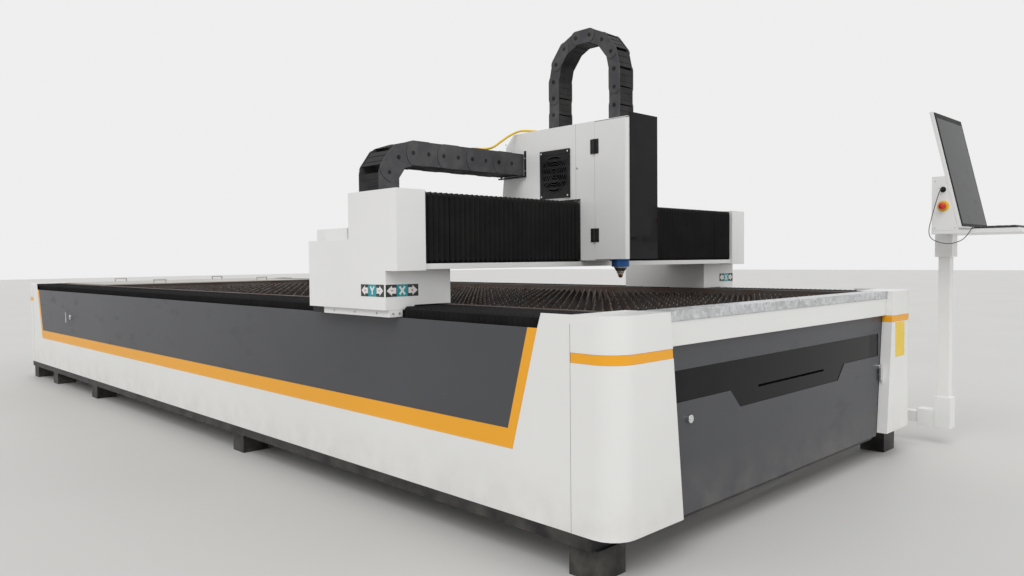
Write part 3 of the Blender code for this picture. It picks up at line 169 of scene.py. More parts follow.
def noise(tree, scale, detail, stretch=None, vector=None):
    place = vector or objectPlace(tree)
    if stretch:
        place = node(tree, "ShaderNodeMapping", {"Vector": place, "Scale": stretch}).outputs[0]
    return node(tree, "ShaderNodeTexNoise", {"Vector": place, "Scale": scale, "Detail": detail}).outputs[0]


def remap(tree, value, fromLow, fromHigh, toLow=0.0, toHigh=1.0):
    return node(tree, "ShaderNodeMapRange",
                {0: value, 1: fromLow, 2: fromHigh, 3: toLow, 4: toHigh}).outputs[0]


def mixColor(tree, amount, a, b):
    return node(tree, "ShaderNodeMix", {0: amount, 6: a, 7: b}, data_type="RGBA").outputs[2]


def scaled(tree, color, factor):
    return node(tree, "ShaderNodeVectorMath", {0: color, "Scale": factor}, operation="SCALE").outputs[0]


def bump(tree, height, strength, distance):
    return node(tree, "ShaderNodeBump",
                {"Height": height, "Strength": strength, "Distance": distance}).outputs[0]


def paintGroup():
    # powder coat: cloudy tone, orange peel, handling smudges, fine scratches and floor dust near the ground
    tree, given = newGroup("powderCoat", {
        "Color": (0.8, 0.8, 0.8), "Dust Color": (0.42, 0.38, 0.32), "Dust Height": 0.35, "Dust": 0.35,
        "Cloud": 0.06, "Base Roughness": 0.35, "Peel": 0.12})
    cloud = remap(tree, noise(tree, 1.4, 4.0), 0.3, 0.7, -0.5, 0.5)
    toned = scaled(tree, given["Color"], plus(tree, 1.0, times(tree, cloud, given["Cloud"])))
    low = remap(tree, mathNode(tree, "DIVIDE", heightOf(tree), given["Dust Height"]), 0.0, 1.0, 1.0, 0.0)
    patch = remap(tree, noise(tree, 9.0, 6.0), 0.35, 0.7)
    dust = times(tree, times(tree, low, patch), given["Dust"])
    smudge = remap(tree, noise(tree, 5.0, 3.0, (1.0, 1.0, 2.5)), 0.58, 0.74)
    scratch = remap(tree, noise(tree, 30.0, 2.0, (0.35, 0.35, 9.0)), 0.745, 0.765)
    dirty = mixColor(tree, dust, toned, given["Dust Color"])
    worn = mixColor(tree, times(tree, scratch, 0.12), dirty, (0.5, 0.5, 0.5))
    rough = plus(tree, given["Base Roughness"], times(tree, smudge, 0.1))
    rough = plus(tree, rough, times(tree, dust, 0.4))
    peel = plus(tree, noise(tree, 260.0, 1.0), times(tree, scratch, -0.4))
    return endGroup(tree, worn, rough, bump(tree, peel, given["Peel"], 0.0006))


def grainGroup():
    # drawn or machined metal: streaks along one direction, tarnish patches
    tree, given = newGroup("metalGrain", {
        "Color": (0.5, 0.5, 0.5), "Tarnish Color": (0.3, 0.28, 0.25), "Tarnish": 0.3,
        "Streak": (1.0, 1.0, 40.0), "Base Roughness": 0.3, "Grain": 0.2})
    streaked = node(tree, "ShaderNodeVectorMath", {0: objectPlace(tree), 1: given["Streak"]},
                    operation="MULTIPLY").outputs[0]
    streak = noise(tree, 12.0, 4.0, vector=streaked)
    patch = remap(tree, noise(tree, 3.5, 5.0), 0.4, 0.72)
    color = mixColor(tree, times(tree, patch, given["Tarnish"]), given["Color"], given["Tarnish Color"])
    lit = scaled(tree, color, remap(tree, streak, 0.2, 0.8, 0.85, 1.12))
    rough = plus(tree, given["Base Roughness"], remap(tree, streak, 0.3, 0.8, 0.0, 0.18))
    rough = plus(tree, rough, times(tree, patch, 0.15))
    return endGroup(tree, lit, rough, bump(tree, streak, given["Grain"], 0.0004))


def spangleGroup():
    # hot dip zinc: crystals of slightly different tone
    tree, given = newGroup("zincSpangle", {
        "Color": (0.5, 0.5, 0.5), "Size": 60.0, "Contrast": 0.35, "Base Roughness": 0.35})
    wires = {"Vector": objectPlace(tree), "Scale": given["Size"]}
    cells = node(tree, "ShaderNodeTexVoronoi", wires).outputs[1]
    grey = node(tree, "ShaderNodeSeparateColor", {0: cells}).outputs[0]
    shift = times(tree, mathNode(tree, "SUBTRACT", grey, 0.5), given["Contrast"])
    lit = scaled(tree, given["Color"], plus(tree, 1.0, shift))
    rough = plus(tree, given["Base Roughness"], remap(tree, grey, 0.0, 1.0, -0.08, 0.15))
    return endGroup(tree, lit, rough, bump(tree, noise(tree, 90.0, 4.0), 0.12, 0.0005))


def mouldGroup():
    # moulded plastic: fine spark grain, slight sheen patches and dust in the open
    tree, given = newGroup("mouldedGrain", {
        "Color": (0.03, 0.03, 0.03), "Dust Color": (0.3, 0.28, 0.25), "Dust": 0.12,
        "Base Roughness": 0.45, "Grain": 0.25, "Grain Size": 900.0})
    patch = remap(tree, noise(tree, 14.0, 6.0), 0.42, 0.75)
    color = mixColor(tree, times(tree, patch, given["Dust"]), given["Color"], given["Dust Color"])
    rough = plus(tree, given["Base Roughness"], remap(tree, patch, 0.0, 1.0, -0.04, 0.16))
    grain = noise(tree, given["Grain Size"], 2.0)
    return endGroup(tree, color, rough, bump(tree, grain, given["Grain"], 0.0003))


def clothGroup():
    # coated cloth: crossed threads under a thin black coat, dust caught on it
    tree, given = newGroup("coatedCloth", {
        "Color": (0.012, 0.012, 0.013), "Dust Color": (0.2, 0.18, 0.16), "Dust": 0.12,
        "Base Roughness": 0.55, "Thread": 900.0})
    place = objectPlace(tree)
    threads = [node(tree, "ShaderNodeTexWave", {"Vector": place, "Scale": given["Thread"]},
                    wave_type="BANDS", bands_direction=way).outputs[1] for way in ("X", "Y", "Z")]
    weave = larger(tree, larger(tree, threads[0], threads[1]), threads[2])
    patch = remap(tree, noise(tree, 7.0, 6.0), 0.45, 0.75)
    color = mixColor(tree, times(tree, patch, given["Dust"]), given["Color"], given["Dust Color"])
    rough = plus(tree, given["Base Roughness"], remap(tree, patch, 0.0, 1.0, -0.05, 0.2))
    return endGroup(tree, color, rough, bump(tree, weave, 0.2, 0.0002))


groups = {"powderCoat": paintGroup(), "metalGrain": grainGroup(), "zincSpangle": spangleGroup(),
          "mouldedGrain": mouldGroup(), "coatedCloth": clothGroup()}
print("stage: shader groups")

# finishes: one table for each shader group
paintLook = {  # colour, roughness, cloud, dust, dust height, peel, specular level
    "whitePanel": ((0.8, 0.8, 0.785), 0.33, 0.05, 0.35, 0.35, 0.12, 0.5),
    "whiteHousing": ((0.81, 0.81, 0.8), 0.3, 0.06, 0.0, 0.35, 0.12, 0.5),
    "greyCover": ((0.066, 0.068, 0.076), 0.38, 0.16, 0.25, 0.35, 0.2, 0.35),
    "yellowBand": ((0.9, 0.4, 0.012), 0.36, 0.06, 0.35, 0.35, 0.12, 0.5),
    "blackFrame": ((0.014, 0.014, 0.015), 0.48, 0.06, 0.22, 0.3, 0.25, 0.3),
    "deckPaint": ((0.46, 0.44, 0.4), 0.5, 0.25, 0.35, 0.35, 0.3, 0.5),
}
mouldedLook = {  # colour, roughness, dust, grain, grain size, specular level
    "blackPart": ((0.012, 0.012, 0.013), 0.4, 0.05, 0.25, 900, 0.25),
    "glossBlack": ((0.004, 0.004, 0.005), 0.09, 0.012, 0.02, 60, 0.14),
    "screenBorder": ((0.004, 0.004, 0.005), 0.2, 0.012, 0.02, 60, 0.02),
    "screenGlass": ((0.013, 0.015, 0.016), 0.1, 0.015, 0.01, 50, 0.13),
    "chainSide": ((0.055, 0.055, 0.06), 0.42, 0.18, 0.3, 500, 0.25),
    "chainBar": ((0.011, 0.011, 0.012), 0.45, 0.1, 0.3, 500, 0.15),
    "ceramicRing": ((0.78, 0.76, 0.7), 0.35, 0.12, 0.25, 900, 0.5),
    "stopRed": ((0.62, 0.02, 0.012), 0.22, 0.04, 0.05, 900, 0.5),
    "stopYellow": ((0.85, 0.55, 0.02), 0.3, 0.05, 0.25, 900, 0.5),
    "plateYellow": ((0.86, 0.6, 0.03), 0.3, 0.08, 0.06, 900, 0.5),
    "fibreJacket": ((0.86, 0.55, 0.01), 0.35, 0.1, 0.15, 900, 0.5),
    "cordJacket": ((0.012, 0.012, 0.013), 0.5, 0.06, 0.25, 900, 0.5),
    "trayWhite": ((0.78, 0.78, 0.76), 0.35, 0.06, 0.1, 900, 0.5),
    "keyCap": ((0.022, 0.022, 0.024), 0.4, 0.06, 0.25, 900, 0.5),
    "markTeal": ((0.0, 0.32, 0.36), 0.28, 0.04, 0.03, 900, 0.5),
    "markBlack": ((0.02, 0.02, 0.022), 0.28, 0.03, 0.03, 900, 0.5),
    "markWhite": ((0.8, 0.8, 0.79), 0.28, 0.04, 0.03, 900, 0.5),
    "seamPale": ((0.4, 0.4, 0.39), 0.6, 0.1, 0.25, 900, 0.5),
    "seamDark": ((0.06, 0.06, 0.06), 0.6, 0.2, 0.25, 900, 0.5),
}
metalLook = {  # colour, roughness, tarnish, tarnish colour, grain, streak, metallic
    "machinedSteel": ((0.5, 0.49, 0.47), 0.3, 0.25, (0.3, 0.28, 0.25), 0.2, (1, 1, 40), 1.0),
    "traySteel": ((0.13, 0.11, 0.1), 0.55, 0.7, (0.12, 0.06, 0.035), 0.2, (1, 6, 1), 0.8),
    "screwSteel": ((0.55, 0.55, 0.55), 0.25, 0.3, (0.3, 0.28, 0.25), 0.2, (1, 1, 40), 1.0),
    "lockChrome": ((0.78, 0.78, 0.78), 0.1, 0.08, (0.3, 0.28, 0.25), 0.05, (1, 1, 40), 1.0),
    "blueBody": ((0.03, 0.14, 0.42), 0.22, 0.1, (0.02, 0.08, 0.25), 0.1, (1, 1, 40), 0.6),
    "copperTip": ((0.65, 0.3, 0.14), 0.25, 0.5, (0.22, 0.1, 0.05), 0.2, (1, 1, 40), 1.0),
}
finishTables = (
    ("powderCoat", paintLook,
        ("Color", "Base Roughness", "Cloud", "Dust", "Dust Height", "Peel", "Specular IOR Level")),
    ("mouldedGrain", mouldedLook,
        ("Color", "Base Roughness", "Dust", "Grain", "Grain Size", "Specular IOR Level")),
    ("metalGrain", metalLook,
        ("Color", "Base Roughness", "Tarnish", "Tarnish Color", "Grain", "Streak", "Metallic")),
    ("zincSpangle", {"zincSheet": ((0.6, 0.61, 0.62), 0.9)}, ("Color", "Metallic")),
    ("coatedCloth", {"bellowsCloth": ((0.007, 0.007, 0.0075), 0.05, 0.12)},
        ("Color", "Dust", "Specular IOR Level")),
)
clearCoat = {"whitePanel": 0.15, "whiteHousing": 0.2, "stopRed": 0.3}


def newMaterial(name):
    material = bpy.data.materials.new(name)
    material.use_nodes = True
    material.node_tree.nodes.clear()
    return material, material.node_tree


def addShader(tree, wires):
    shader = node(tree, "ShaderNodeBsdfPrincipled", wires)
    node(tree, "ShaderNodeOutputMaterial", {"Surface": shader.outputs[0]})
    return shader


def makeFinish(name, groupName, labels, values):
    # a label that the group doesn't take is set on the shader's own socket
    material, tree = newMaterial(name)
    look = node(tree, "ShaderNodeGroup", node_tree=groups[groupName])
    shader = addShader(tree, {"Base Color": look.outputs["Color"], "Roughness": look.outputs["Roughness"],
                              "Normal": look.outputs["Normal"], "Coat Weight": clearCoat.get(name, 0.0)})
    for label, value in zip(labels, values):
        setValue((look if label in look.inputs else shader).inputs[label], value)
    return material


finishes = {name: makeFinish(name, groupName, labels, values)
            for groupName, table, labels in finishTables for name, values in table.items()}

# plain pale floor that keeps the shadow
floorLook = {"size": 120.0, "color": (0.62, 0.615, 0.6), "cloud": 0.05, "roughness": 0.6, "drop": 0.0005}


def makeFloor():
    look = floorLook
    half, level = look["size"] / 2, -look["drop"]
    mesh = bpy.data.meshes.new("studioFloor")
    mesh.from_pydata([(x * half, y * half, level) for x, y in ((-1, -1), (1, -1), (1, 1), (-1, 1))], [],
                     [(0, 1, 2, 3)])
    material, tree = newMaterial("paleFloor")
    darker, lighter = ([c * (1 + way * look["cloud"]) for c in look["color"]] for way in (-1, 1))
    cloudy = mixColor(tree, noise(tree, 0.6, 5.0), darker, lighter)
    addShader(tree, {"Base Color": cloudy, "Roughness": look["roughness"]})
    mesh.materials.append(material)
    floor = bpy.data.objects.new("studioFloor", mesh)
    scene.collection.objects.link(floor)


makeFloor()
print("stage: finishes and floor")

# mesh helpers
corner = Vector((1.5485, 3.388, 0))  # the bed's front left corner on the floor is minus this point
edgeLook = {"steps": 2, "weld": 0.00002, "sharpest": math.radians(32)}


def spot(x, y, z):
    return Vector((x, y, z)) - corner


def block(shape, low, high, finish=0):
    low, high = Vector(low), Vector(high)
    made = bmesh.ops.create_cube(shape, size=1, matrix=Matrix.Translation((low + high) / 2)
                                 @ Matrix.Diagonal((*(high - low), 1)))
    for face in {f for v in made["verts"] for f in v.link_faces}:
        face.material_index = finish
    return made["verts"]


turns = {"X": Matrix.Rotation(math.pi / 2, 4, "Y"), "-X": Matrix.Rotation(-math.pi / 2, 4, "Y"),
         "-Y": Matrix.Rotation(math.pi / 2, 4, "X"), "Z": Matrix.Identity(4)}


def lathe(shape, profile, foot, axis="Z", sides=32, finish=0):
    # profile is (radius, distance along the axis, optional finish) from foot
    move = Matrix.Translation(foot) @ turns[axis]
    rings, kinds = [], []
    for radius, along, *kind in profile:
        kinds.append(kind[0] if kind else finish)
        rings.append([shape.verts.new(move @ Vector((radius * math.cos(a), radius * math.sin(a), along)))
                      for a in (2 * math.pi * k / sides for k in range(sides))])
    for index, (near, far) in enumerate(zip(rings, rings[1:])):
        for k in range(sides):
            face = shape.faces.new((near[k], near[(k + 1) % sides], far[(k + 1) % sides], far[k]))
            face.material_index = kinds[index + 1]
    for ring, kind in ((rings[0], kinds[0]), (rings[-1], kinds[-1])):
        shape.faces.new(ring).material_index = kind


def slab(shape, points, normal, depth, finish=0):
    # a flat outline of 3-D points, given depth along a normal
    push = Vector(normal) * depth
    near = [shape.verts.new(p) for p in points]
    far = [shape.verts.new(p + push) for p in points]
    count = len(points)
    faces = [shape.faces.new(near), shape.faces.new(far)]
    for k in range(count):
        faces.append(shape.faces.new((near[k], near[(k + 1) % count], far[(k + 1) % count], far[k])))
    for face in faces:
        face.material_index = finish


def softenEdges(thing, width):
    bevel = thing.modifiers.new("edges", "BEVEL")
    bevel.width, bevel.segments, bevel.limit_method = width, edgeLook["steps"], "ANGLE"
    return bevel


def makePiece(name, shape, finishNames, body=None, soft=None, edge=0.0, stands=()):
    # soft is the angle in degrees below which shading is smooth, edge is the width of rounded edges
    bmesh.ops.recalc_face_normals(shape, faces=shape.faces)
    mesh = bpy.data.meshes.new(name)
    shape.to_mesh(mesh)
    shape.free()
    for finish in finishNames:
        mesh.materials.append(finishes[finish])
    if soft is not None:
        mesh.shade_smooth()
        mesh.set_sharp_from_angle(angle=math.radians(soft))
    piece = bpy.data.objects.new(name, mesh)
    scene.collection.objects.link(piece)
    if edge:
        softenEdges(piece, edge)
    if stands:
        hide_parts(*stands)
    if body:
        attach(piece, body)
    return piece


# CAD nodes that keep their shape: the width of their softened edges, and the nodes of each finish
nodeLook = {
    "whitePanel": (0.0012, ("front_post_left", "front_post_right", "rear_post_left", "rear_post_right",
        "side_panel_left", "side_panel_right", "front_crossrail")),
    "whiteHousing": (0.0012, ("gantry_end_left", "gantry_end_right", "gantry_beam", "carriage_housing",
        "nose_cover", "pendant_stand", "keyboard_tray", "pendant_box",
        "monitor_housing")),
    "greyCover": (0.001, ("side_cover_left", "side_cover_right", "front_door", "rear_panel")),
    "yellowBand": (0.0005, ("post_band_left", "post_band_right", "side_stripe_left", "side_stripe_right")),
    "blackFrame": (0.002, ("base_frame", "gantry_saddle_left", "gantry_saddle_right")),
    "deckPaint": (0.0008, ("rear_deck_left", "rear_deck_right")),
    "glossBlack": (0.0007, ("front_door_inset", "nose_front")),
    "screenBorder": (0.0007, ("monitor_screen",)),
    "zincSheet": (0.0008, ("front_edge_plate",)),
    "traySteel": (0, ("scrap_tray",)),
    "machinedSteel": (0.0008, ("carriage_slide", "z_slide")),
    "lockChrome": (0.0006, ("side_latch_left", "cam_lock", "lever_latch")),
    "blackPart": (0.0006, ("z_motor", "fan_grille", "usb_plug")),
}


def dressNode(name, finish, width):
    thing = nodes[name]
    thing.data.materials.clear()
    thing.data.materials.append(finishes[finish])
    if not width:
        return
    thing.data.polygons.foreach_set("use_smooth", [True] * len(thing.data.polygons))
    thing.modifiers.new("weld", "WELD").merge_threshold = edgeLook["weld"]
    softenEdges(thing, width).angle_limit = edgeLook["sharpest"]
    thing.modifiers.new("even", "WEIGHTED_NORMAL").keep_sharp = False


for finish, (width, names) in nodeLook.items():
    for name in names:
        dressNode(name, finish, width)
print("stage: CAD nodes dressed")

# slat table: toothed blades between two angles, and a bar at the far end
# the pale tip colour and the height it starts from paint a highlight on the top of the teeth
slatLook = {"steel": (0.085, 0.08, 0.076), "rust": (0.075, 0.045, 0.03), "burnt": (0.018, 0.014, 0.013),
    "tipHighlight": (0.42, 0.4, 0.38), "highlightFrom": 0.868, "valley": 0.838, "tip": 0.879, "metallic": 0.75}
tableLook = {"start": 0.12, "end": 5.94, "spacing": 0.1, "thickness": 0.003, "tooth": 0.06,
    "left": 0.306, "right": 2.372, "ledge": 0.3605, "low": 0.8, "overLedge": 0.8303,
    "edges": (0.2997, 2.3783), "burnDown": 0.003, "lean": 0.002, "seed": 11, "bedWidth": 2.678,
    "angle": ((0.3, 0.74), (0.304, 0.74), (0.304, 0.826), (0.36, 0.826), (0.36, 0.83), (0.304, 0.83),
        (0.304, 0.896), (0.262, 0.896), (0.262, 0.893), (0.3, 0.893)),
    "angleFrom": 0.14, "angleLength": 7.008, "endBar": ((0.3, 6.03, 0.83), (2.378, 6.07, 0.8955))}


def makeSlatFinish():
    # brownish mill scale, burnt and spattered towards the tips, with a painted highlight in pale steel on the
    # top of the teeth
    look = slatLook
    material, tree = newMaterial("burntSlat")
    height = heightOf(tree)
    rise = remap(tree, height, look["valley"], look["tip"])
    rust = remap(tree, noise(tree, 6.0, 6.0), 0.42, 0.66)
    spatter = remap(tree, noise(tree, 120.0, 4.0), 0.52, 0.62)
    base = mixColor(tree, rust, look["steel"], look["rust"])
    burnt = mixColor(tree, times(tree, rise, spatter), base, look["burnt"])
    # painted highlight: the top of each tooth turns pale in patches, as if catching the light
    tipHighlight = times(tree, remap(tree, height, look["highlightFrom"], look["tip"]),
                 remap(tree, noise(tree, 45.0, 3.0), 0.35, 0.6))
    addShader(tree, {"Base Color": mixColor(tree, tipHighlight, burnt, look["tipHighlight"]), "Metallic": look["metallic"],
                     "Roughness": plus(tree, 0.38, times(tree, spatter, 0.3)),
                     "Normal": bump(tree, noise(tree, 160.0, 5.0), 0.5, 0.0012)})
    finishes["burntSlat"] = material


def makeSlatTable():
    look, luck = tableLook, random.Random(tableLook["seed"])
    left, right = look["edges"]
    shape = bmesh.new()
    columns = int((look["right"] - look["left"]) / look["tooth"] * 2)
    step = (look["right"] - look["left"]) / columns
    for index in range(int((look["end"] - look["start"]) / look["spacing"]) + 1):
        y = look["start"] + index * look["spacing"]
        lean = luck.uniform(-look["lean"], look["lean"])
        rows = []
        for k in range(columns + 1):
            x = look["left"] + k * step
            tall = k % 2 == 1
            top = slatLook["tip"] - luck.uniform(0, look["burnDown"]) if tall else slatLook["valley"]
            onLedge = min(x - left, right - x) < look["ledge"] - left
            bottom = look["overLedge"] if onLedge else look["low"]
            rows.append([shape.verts.new(spot(x, y + t + (lean if tall and z > bottom else 0), z))
                         for t in (0, look["thickness"]) for z in (bottom, top)])
        for a, b in zip(rows, rows[1:]):
            for i, j in ((0, 1), (1, 3), (3, 2), (2, 0)):
                shape.faces.new((a[i], a[j], b[j], b[i]))
        for end in (rows[0], rows[-1]):
            shape.faces.new((end[0], end[1], end[3], end[2]))
    for mirrored in (False, True):
        outline = [spot(look["bedWidth"] - x if mirrored else x, look["angleFrom"], z)
                   for x, z in look["angle"]]
        slab(shape, outline, (0, 1, 0), look["angleLength"], 1)
    low, high = look["endBar"]
    block(shape, spot(*low), spot(*high), 1)
    return makePiece("slatTable", shape, ("burntSlat", "traySteel"), "bed",
                     stands=("slat_table",))


makeSlatFinish()
makeSlatTable()
print("stage: slat table")

# pleated bellows
pleatLook = {"pitch": 0.03, "depth": 0.011, "flat": 0.0016, "chamfer": 0.01, "frontChamfer": 0.006,
    "slant": 0.4, "shares": (0.0, 0.04, 0.15, 0.85, 0.96, 1.0), "lapBefore": 0.51, "lapAfter": 0.01}
bellowsLook = {"bedSides": {"left": (-1.5285, -1.2985), "right": (0.8795, 1.1095)},
    "bedRuns": {"front": (-3.188, -2.2203), "rear": (3.7, -1.5977)}, "bedLevels": (0.805, 0.897),
    "beamRuns": {"left": (-1.4642, -0.4448), "right": (1.0452, -0.2032)},
    "beamDepth": (-2.292, -2.199), "beamLevels": (1.081, 1.389)}


def bedProfile(wide, levels, inset):
    # an arch over the rail, open below
    (a0, a1), (b0, b1) = wide, levels
    cut = pleatLook["chamfer"]
    slant = inset * pleatLook["slant"]
    return [(a0 + inset, b0), (a0 + inset, b1 - cut - slant), (a0 + cut + slant, b1 - inset),
            (a1 - cut - slant, b1 - inset), (a1 - inset, b1 - cut - slant), (a1 - inset, b0)]


def frontProfile(wide, levels, inset):
    # the sheet in front of the cross beam, folded back over its top and under it
    (a0, a1), (b0, b1) = wide, levels
    cut = pleatLook["frontChamfer"]
    return [(a1, b0 + inset), (a0 + cut + inset, b0 + inset), (a0 + inset, b0 + cut + inset),
            (a0 + inset, b1 - cut - inset), (a0 + cut + inset, b1 - inset), (a1, b1 - inset)]


def makeBellows(name, along, run, profile, wide, levels, slotNode):
    # split in five pieces that overlap a little
    def place(s, a, b):
        return Vector((a, s, b)) if along == "Y" else Vector((s, a, b))

    look, (start, end), axis = pleatLook, run, place(1, 0, 0)
    length = end - start
    count = max(4, round(abs(length) / look["pitch"]))
    pitch = length / count
    flat = math.copysign(look["flat"], length)
    stations = []
    for k in range(count):
        here = start + k * pitch
        stations += [(here, look["depth"]), (here + flat, look["depth"]),
                     (here + pitch / 2, 0.0), (here + pitch / 2 + flat, 0.0)]
    stations.append((end, look["depth"]))
    for part, (first, last) in enumerate(zip(look["shares"], look["shares"][1:])):
        near, far = start + first * length, start + last * length
        lowest = min(near, far) - abs(pitch) * look["lapBefore"]
        highest = max(near, far) + abs(pitch) * look["lapAfter"]
        shape = bmesh.new()
        rings = [[shape.verts.new(place(s, a, b)) for a, b in profile(wide, levels, inset)]
                 for s, inset in stations if lowest <= s <= highest]
        for one, two in zip(rings, rings[1:]):
            for k in range(len(one) - 1):
                shape.faces.new((one[k], one[k + 1], two[k + 1], two[k]))
        if first == 0:
            shape.faces.new(rings[0])
        if last == 1:
            shape.faces.new(rings[-1])
        piece = makePiece(f"{name}{part + 1}", shape, ("bellowsCloth",),
                          stands=(slotNode,) if first == 0 else ())
        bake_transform(piece)


def makeAllBellows():
    look = bellowsLook
    for side, wide in look["bedSides"].items():
        for place, run in look["bedRuns"].items():
            makeBellows(f"bedBellows{place.title()}{side.title()}", "Y", run, bedProfile, wide,
                        look["bedLevels"], f"y_bellows_{place}_{side}")
    for side, run in look["beamRuns"].items():
        makeBellows(f"beamBellows{side.title()}", "X", run, frontProfile, look["beamDepth"],
                    look["beamLevels"], f"x_bellows_{side}")


makeAllBellows()
print("stage: bellows")

# cable chains: a run's near and far are its two outer faces along the width direction
chainLook = {"pitch": 0.091, "plate": 0.0045, "lap": 0.003, "trim": 0.0015, "sides": 10, "capShare": 0.42,
    "rivet": 0.011, "rivetProud": 0.0012, "innerProud": 0.2, "rivetSunk": 0.002, "rivetSides": 14,
    "bar": 0.004, "barShare": 0.93, "barInset": 0.003, "barLap": 0.006, "edge": 0.0006,
    "ribs": (0.3, 0.7), "ribHalf": 0.003, "ribLap": 0.01, "ribTall": 0.0016}
xChainLook = {"width": (0, 1, 0), "near": -1.888, "far": -1.713, "half": 0.06, "bendX": -1.2065,
    "middle": 1.465, "radius": 0.15, "bendLinks": 5, "fixedEnd": -0.2085, "carriageEnd": -0.4448,
    "lift": 0.0005}
zChainLook = {"width": (1, 0, 0), "near": -0.3535, "far": -0.2385, "half": 0.0355, "bendY": -2.236,
    "middle": 2.058, "radius": 0.2085, "bendLinks": 7, "roof": 1.7903, "shelf": 1.6}


def linkOutline(one, two, width, half, flatStart, flatEnd):
    # side plate with round ends, or a straight end where the chain is fixed
    look = chainLook
    ahead = (two - one).normalized()
    out = width.cross(ahead)
    reach = min(half, look["capShare"] * (two - one).length)
    points = []
    for centre, direction, flat in ((one, -1, flatStart), (two, 1, flatEnd)):
        if flat:
            points += [centre - direction * out * half, centre + direction * out * half]
            continue
        for k in range(look["sides"] + 1):
            turn = math.pi * k / look["sides"] - math.pi / 2
            points.append(centre + direction * ahead * reach * math.cos(turn)
                          + direction * out * half * math.sin(turn))
    return points


def makeChain(name, pivots, run, slotNode, body=None, flatStart=False, flatEnd=False, shift=0):
    shape, look = bmesh.new(), chainLook
    width, near, far, half = Vector(run["width"]), run["near"], run["far"], run["half"]
    final = len(pivots) - 2
    circle = [2 * math.pi * i / look["rivetSides"] for i in range(look["rivetSides"])]
    for k, (one, two) in enumerate(zip(pivots, pivots[1:])):
        inner = (k + shift) % 2  # every other link sits inside its neighbours
        lap = look["lap"] * inner
        proud = look["rivetProud"] * (look["innerProud"] if inner else 1)
        ahead = (two - one).normalized()
        out = width.cross(ahead)
        outline = linkOutline(one, two, width, half - look["trim"] * inner, flatStart and k == 0,
                              flatEnd and k == final)
        for face, sign in ((near, 1), (far, -1)):
            slab(shape, [p + width * (face + sign * lap) for p in outline], width * sign, look["plate"])
            for pivot, shown in ((one, k > 0 or not flatStart), (two, k == final and not flatEnd)):
                if shown:
                    disc = [pivot + width * (face - sign * proud)
                            + look["rivet"] * (ahead * math.cos(a) + out * math.sin(a)) for a in circle]
                    slab(shape, disc, width * sign, look["rivetProud"] + look["rivetSunk"], 1)
        spare = (1 - look["barShare"]) / 2
        a, b = one.lerp(two, spare), one.lerp(two, 1 - spare)
        for sign in (1, -1):
            level = out * sign * (half - look["barInset"])
            low, high = near + look["barLap"], far - look["barLap"]
            bar = [end + level + width * w for end, w in ((a, low), (b, low), (b, high), (a, high))]
            slab(shape, bar, -out * sign, look["bar"], 1)
            low, high, wide = near + look["ribLap"], far - look["ribLap"], look["ribHalf"]
            for share in look["ribs"]:
                rib = [a.lerp(b, share) + level + ahead * d + width * w
                       for d, w in ((-wide, low), (wide, low), (wide, high), (-wide, high))]
                slab(shape, rib, out * sign, look["ribTall"], 1)
    return makePiece(name, shape, ("chainSide", "chainBar"), body, edge=look["edge"],
                     stands=(slotNode,))


def lineOf(start, end):
    start, end = Vector(start), Vector(end)
    count = max(1, round((end - start).length / chainLook["pitch"]))
    return [start.lerp(end, k / count) for k in range(count + 1)]


def arcOf(centre, first, second, radius, count):
    # from centre + first to centre - first, over second
    centre, first, second = Vector(centre), Vector(first), Vector(second)
    return [centre + radius * (first * math.cos(math.pi * k / count) + second * math.sin(math.pi * k / count))
            for k in range(count + 1)]


def makeRun(name, start, end, look, slotNode, axis, fixedBody, movingBody, bendFirst=False):
    # a straight run between the bend and a fixed or moving end
    start, end, axis = Vector(start), Vector(end), Vector(axis)
    run = makeChain(name, lineOf(start, end), look, slotNode, flatStart=not bendFirst, flatEnd=bendFirst)
    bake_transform(run)


def makeBend(name, centre, first, second, look, slotNode, body):
    makeChain(name, arcOf(centre, first, second, look["radius"], look["bendLinks"]), look, slotNode, body,
              shift=1)


def makeXChain():
    look, along, bodies = xChainLook, (1, 0, 0), ("gantry", "carriage")
    bend, high = look["bendX"], look["middle"] + look["radius"]
    low = look["middle"] - look["radius"] + look["lift"]
    makeRun("beamChainLower", (look["fixedEnd"], 0, low), (bend, 0, low), look, "x_chain_lower", along,
            *bodies)
    makeRun("beamChainUpper", (bend, 0, high), (look["carriageEnd"], 0, high), look, "x_chain_upper", along,
            *bodies, True)
    makeBend("beamChainBend", (bend, 0, look["middle"]), (0, 0, 1), (-1, 0, 0), look, "x_chain_bend",
             "x_chain_curve")


def makeZChain():
    look, along, bodies = zChainLook, (0, 0, 1), ("carriage", "head")
    back, front, middle = look["bendY"] + look["radius"], look["bendY"] - look["radius"], look["middle"]
    makeRun("headChainBack", (0, back, look["roof"]), (0, back, middle), look, "z_chain_back", along, *bodies)
    makeRun("headChainFront", (0, front, middle), (0, front, look["shelf"]), look, "z_chain_front", along,
            *bodies, True)
    makeBend("headChainBend", (0, look["bendY"], middle), (0, 1, 0), (0, 0, 1), look, "z_chain_bend",
             "z_chain_curve")


makeXChain()
makeZChain()
print("stage: cable chains")

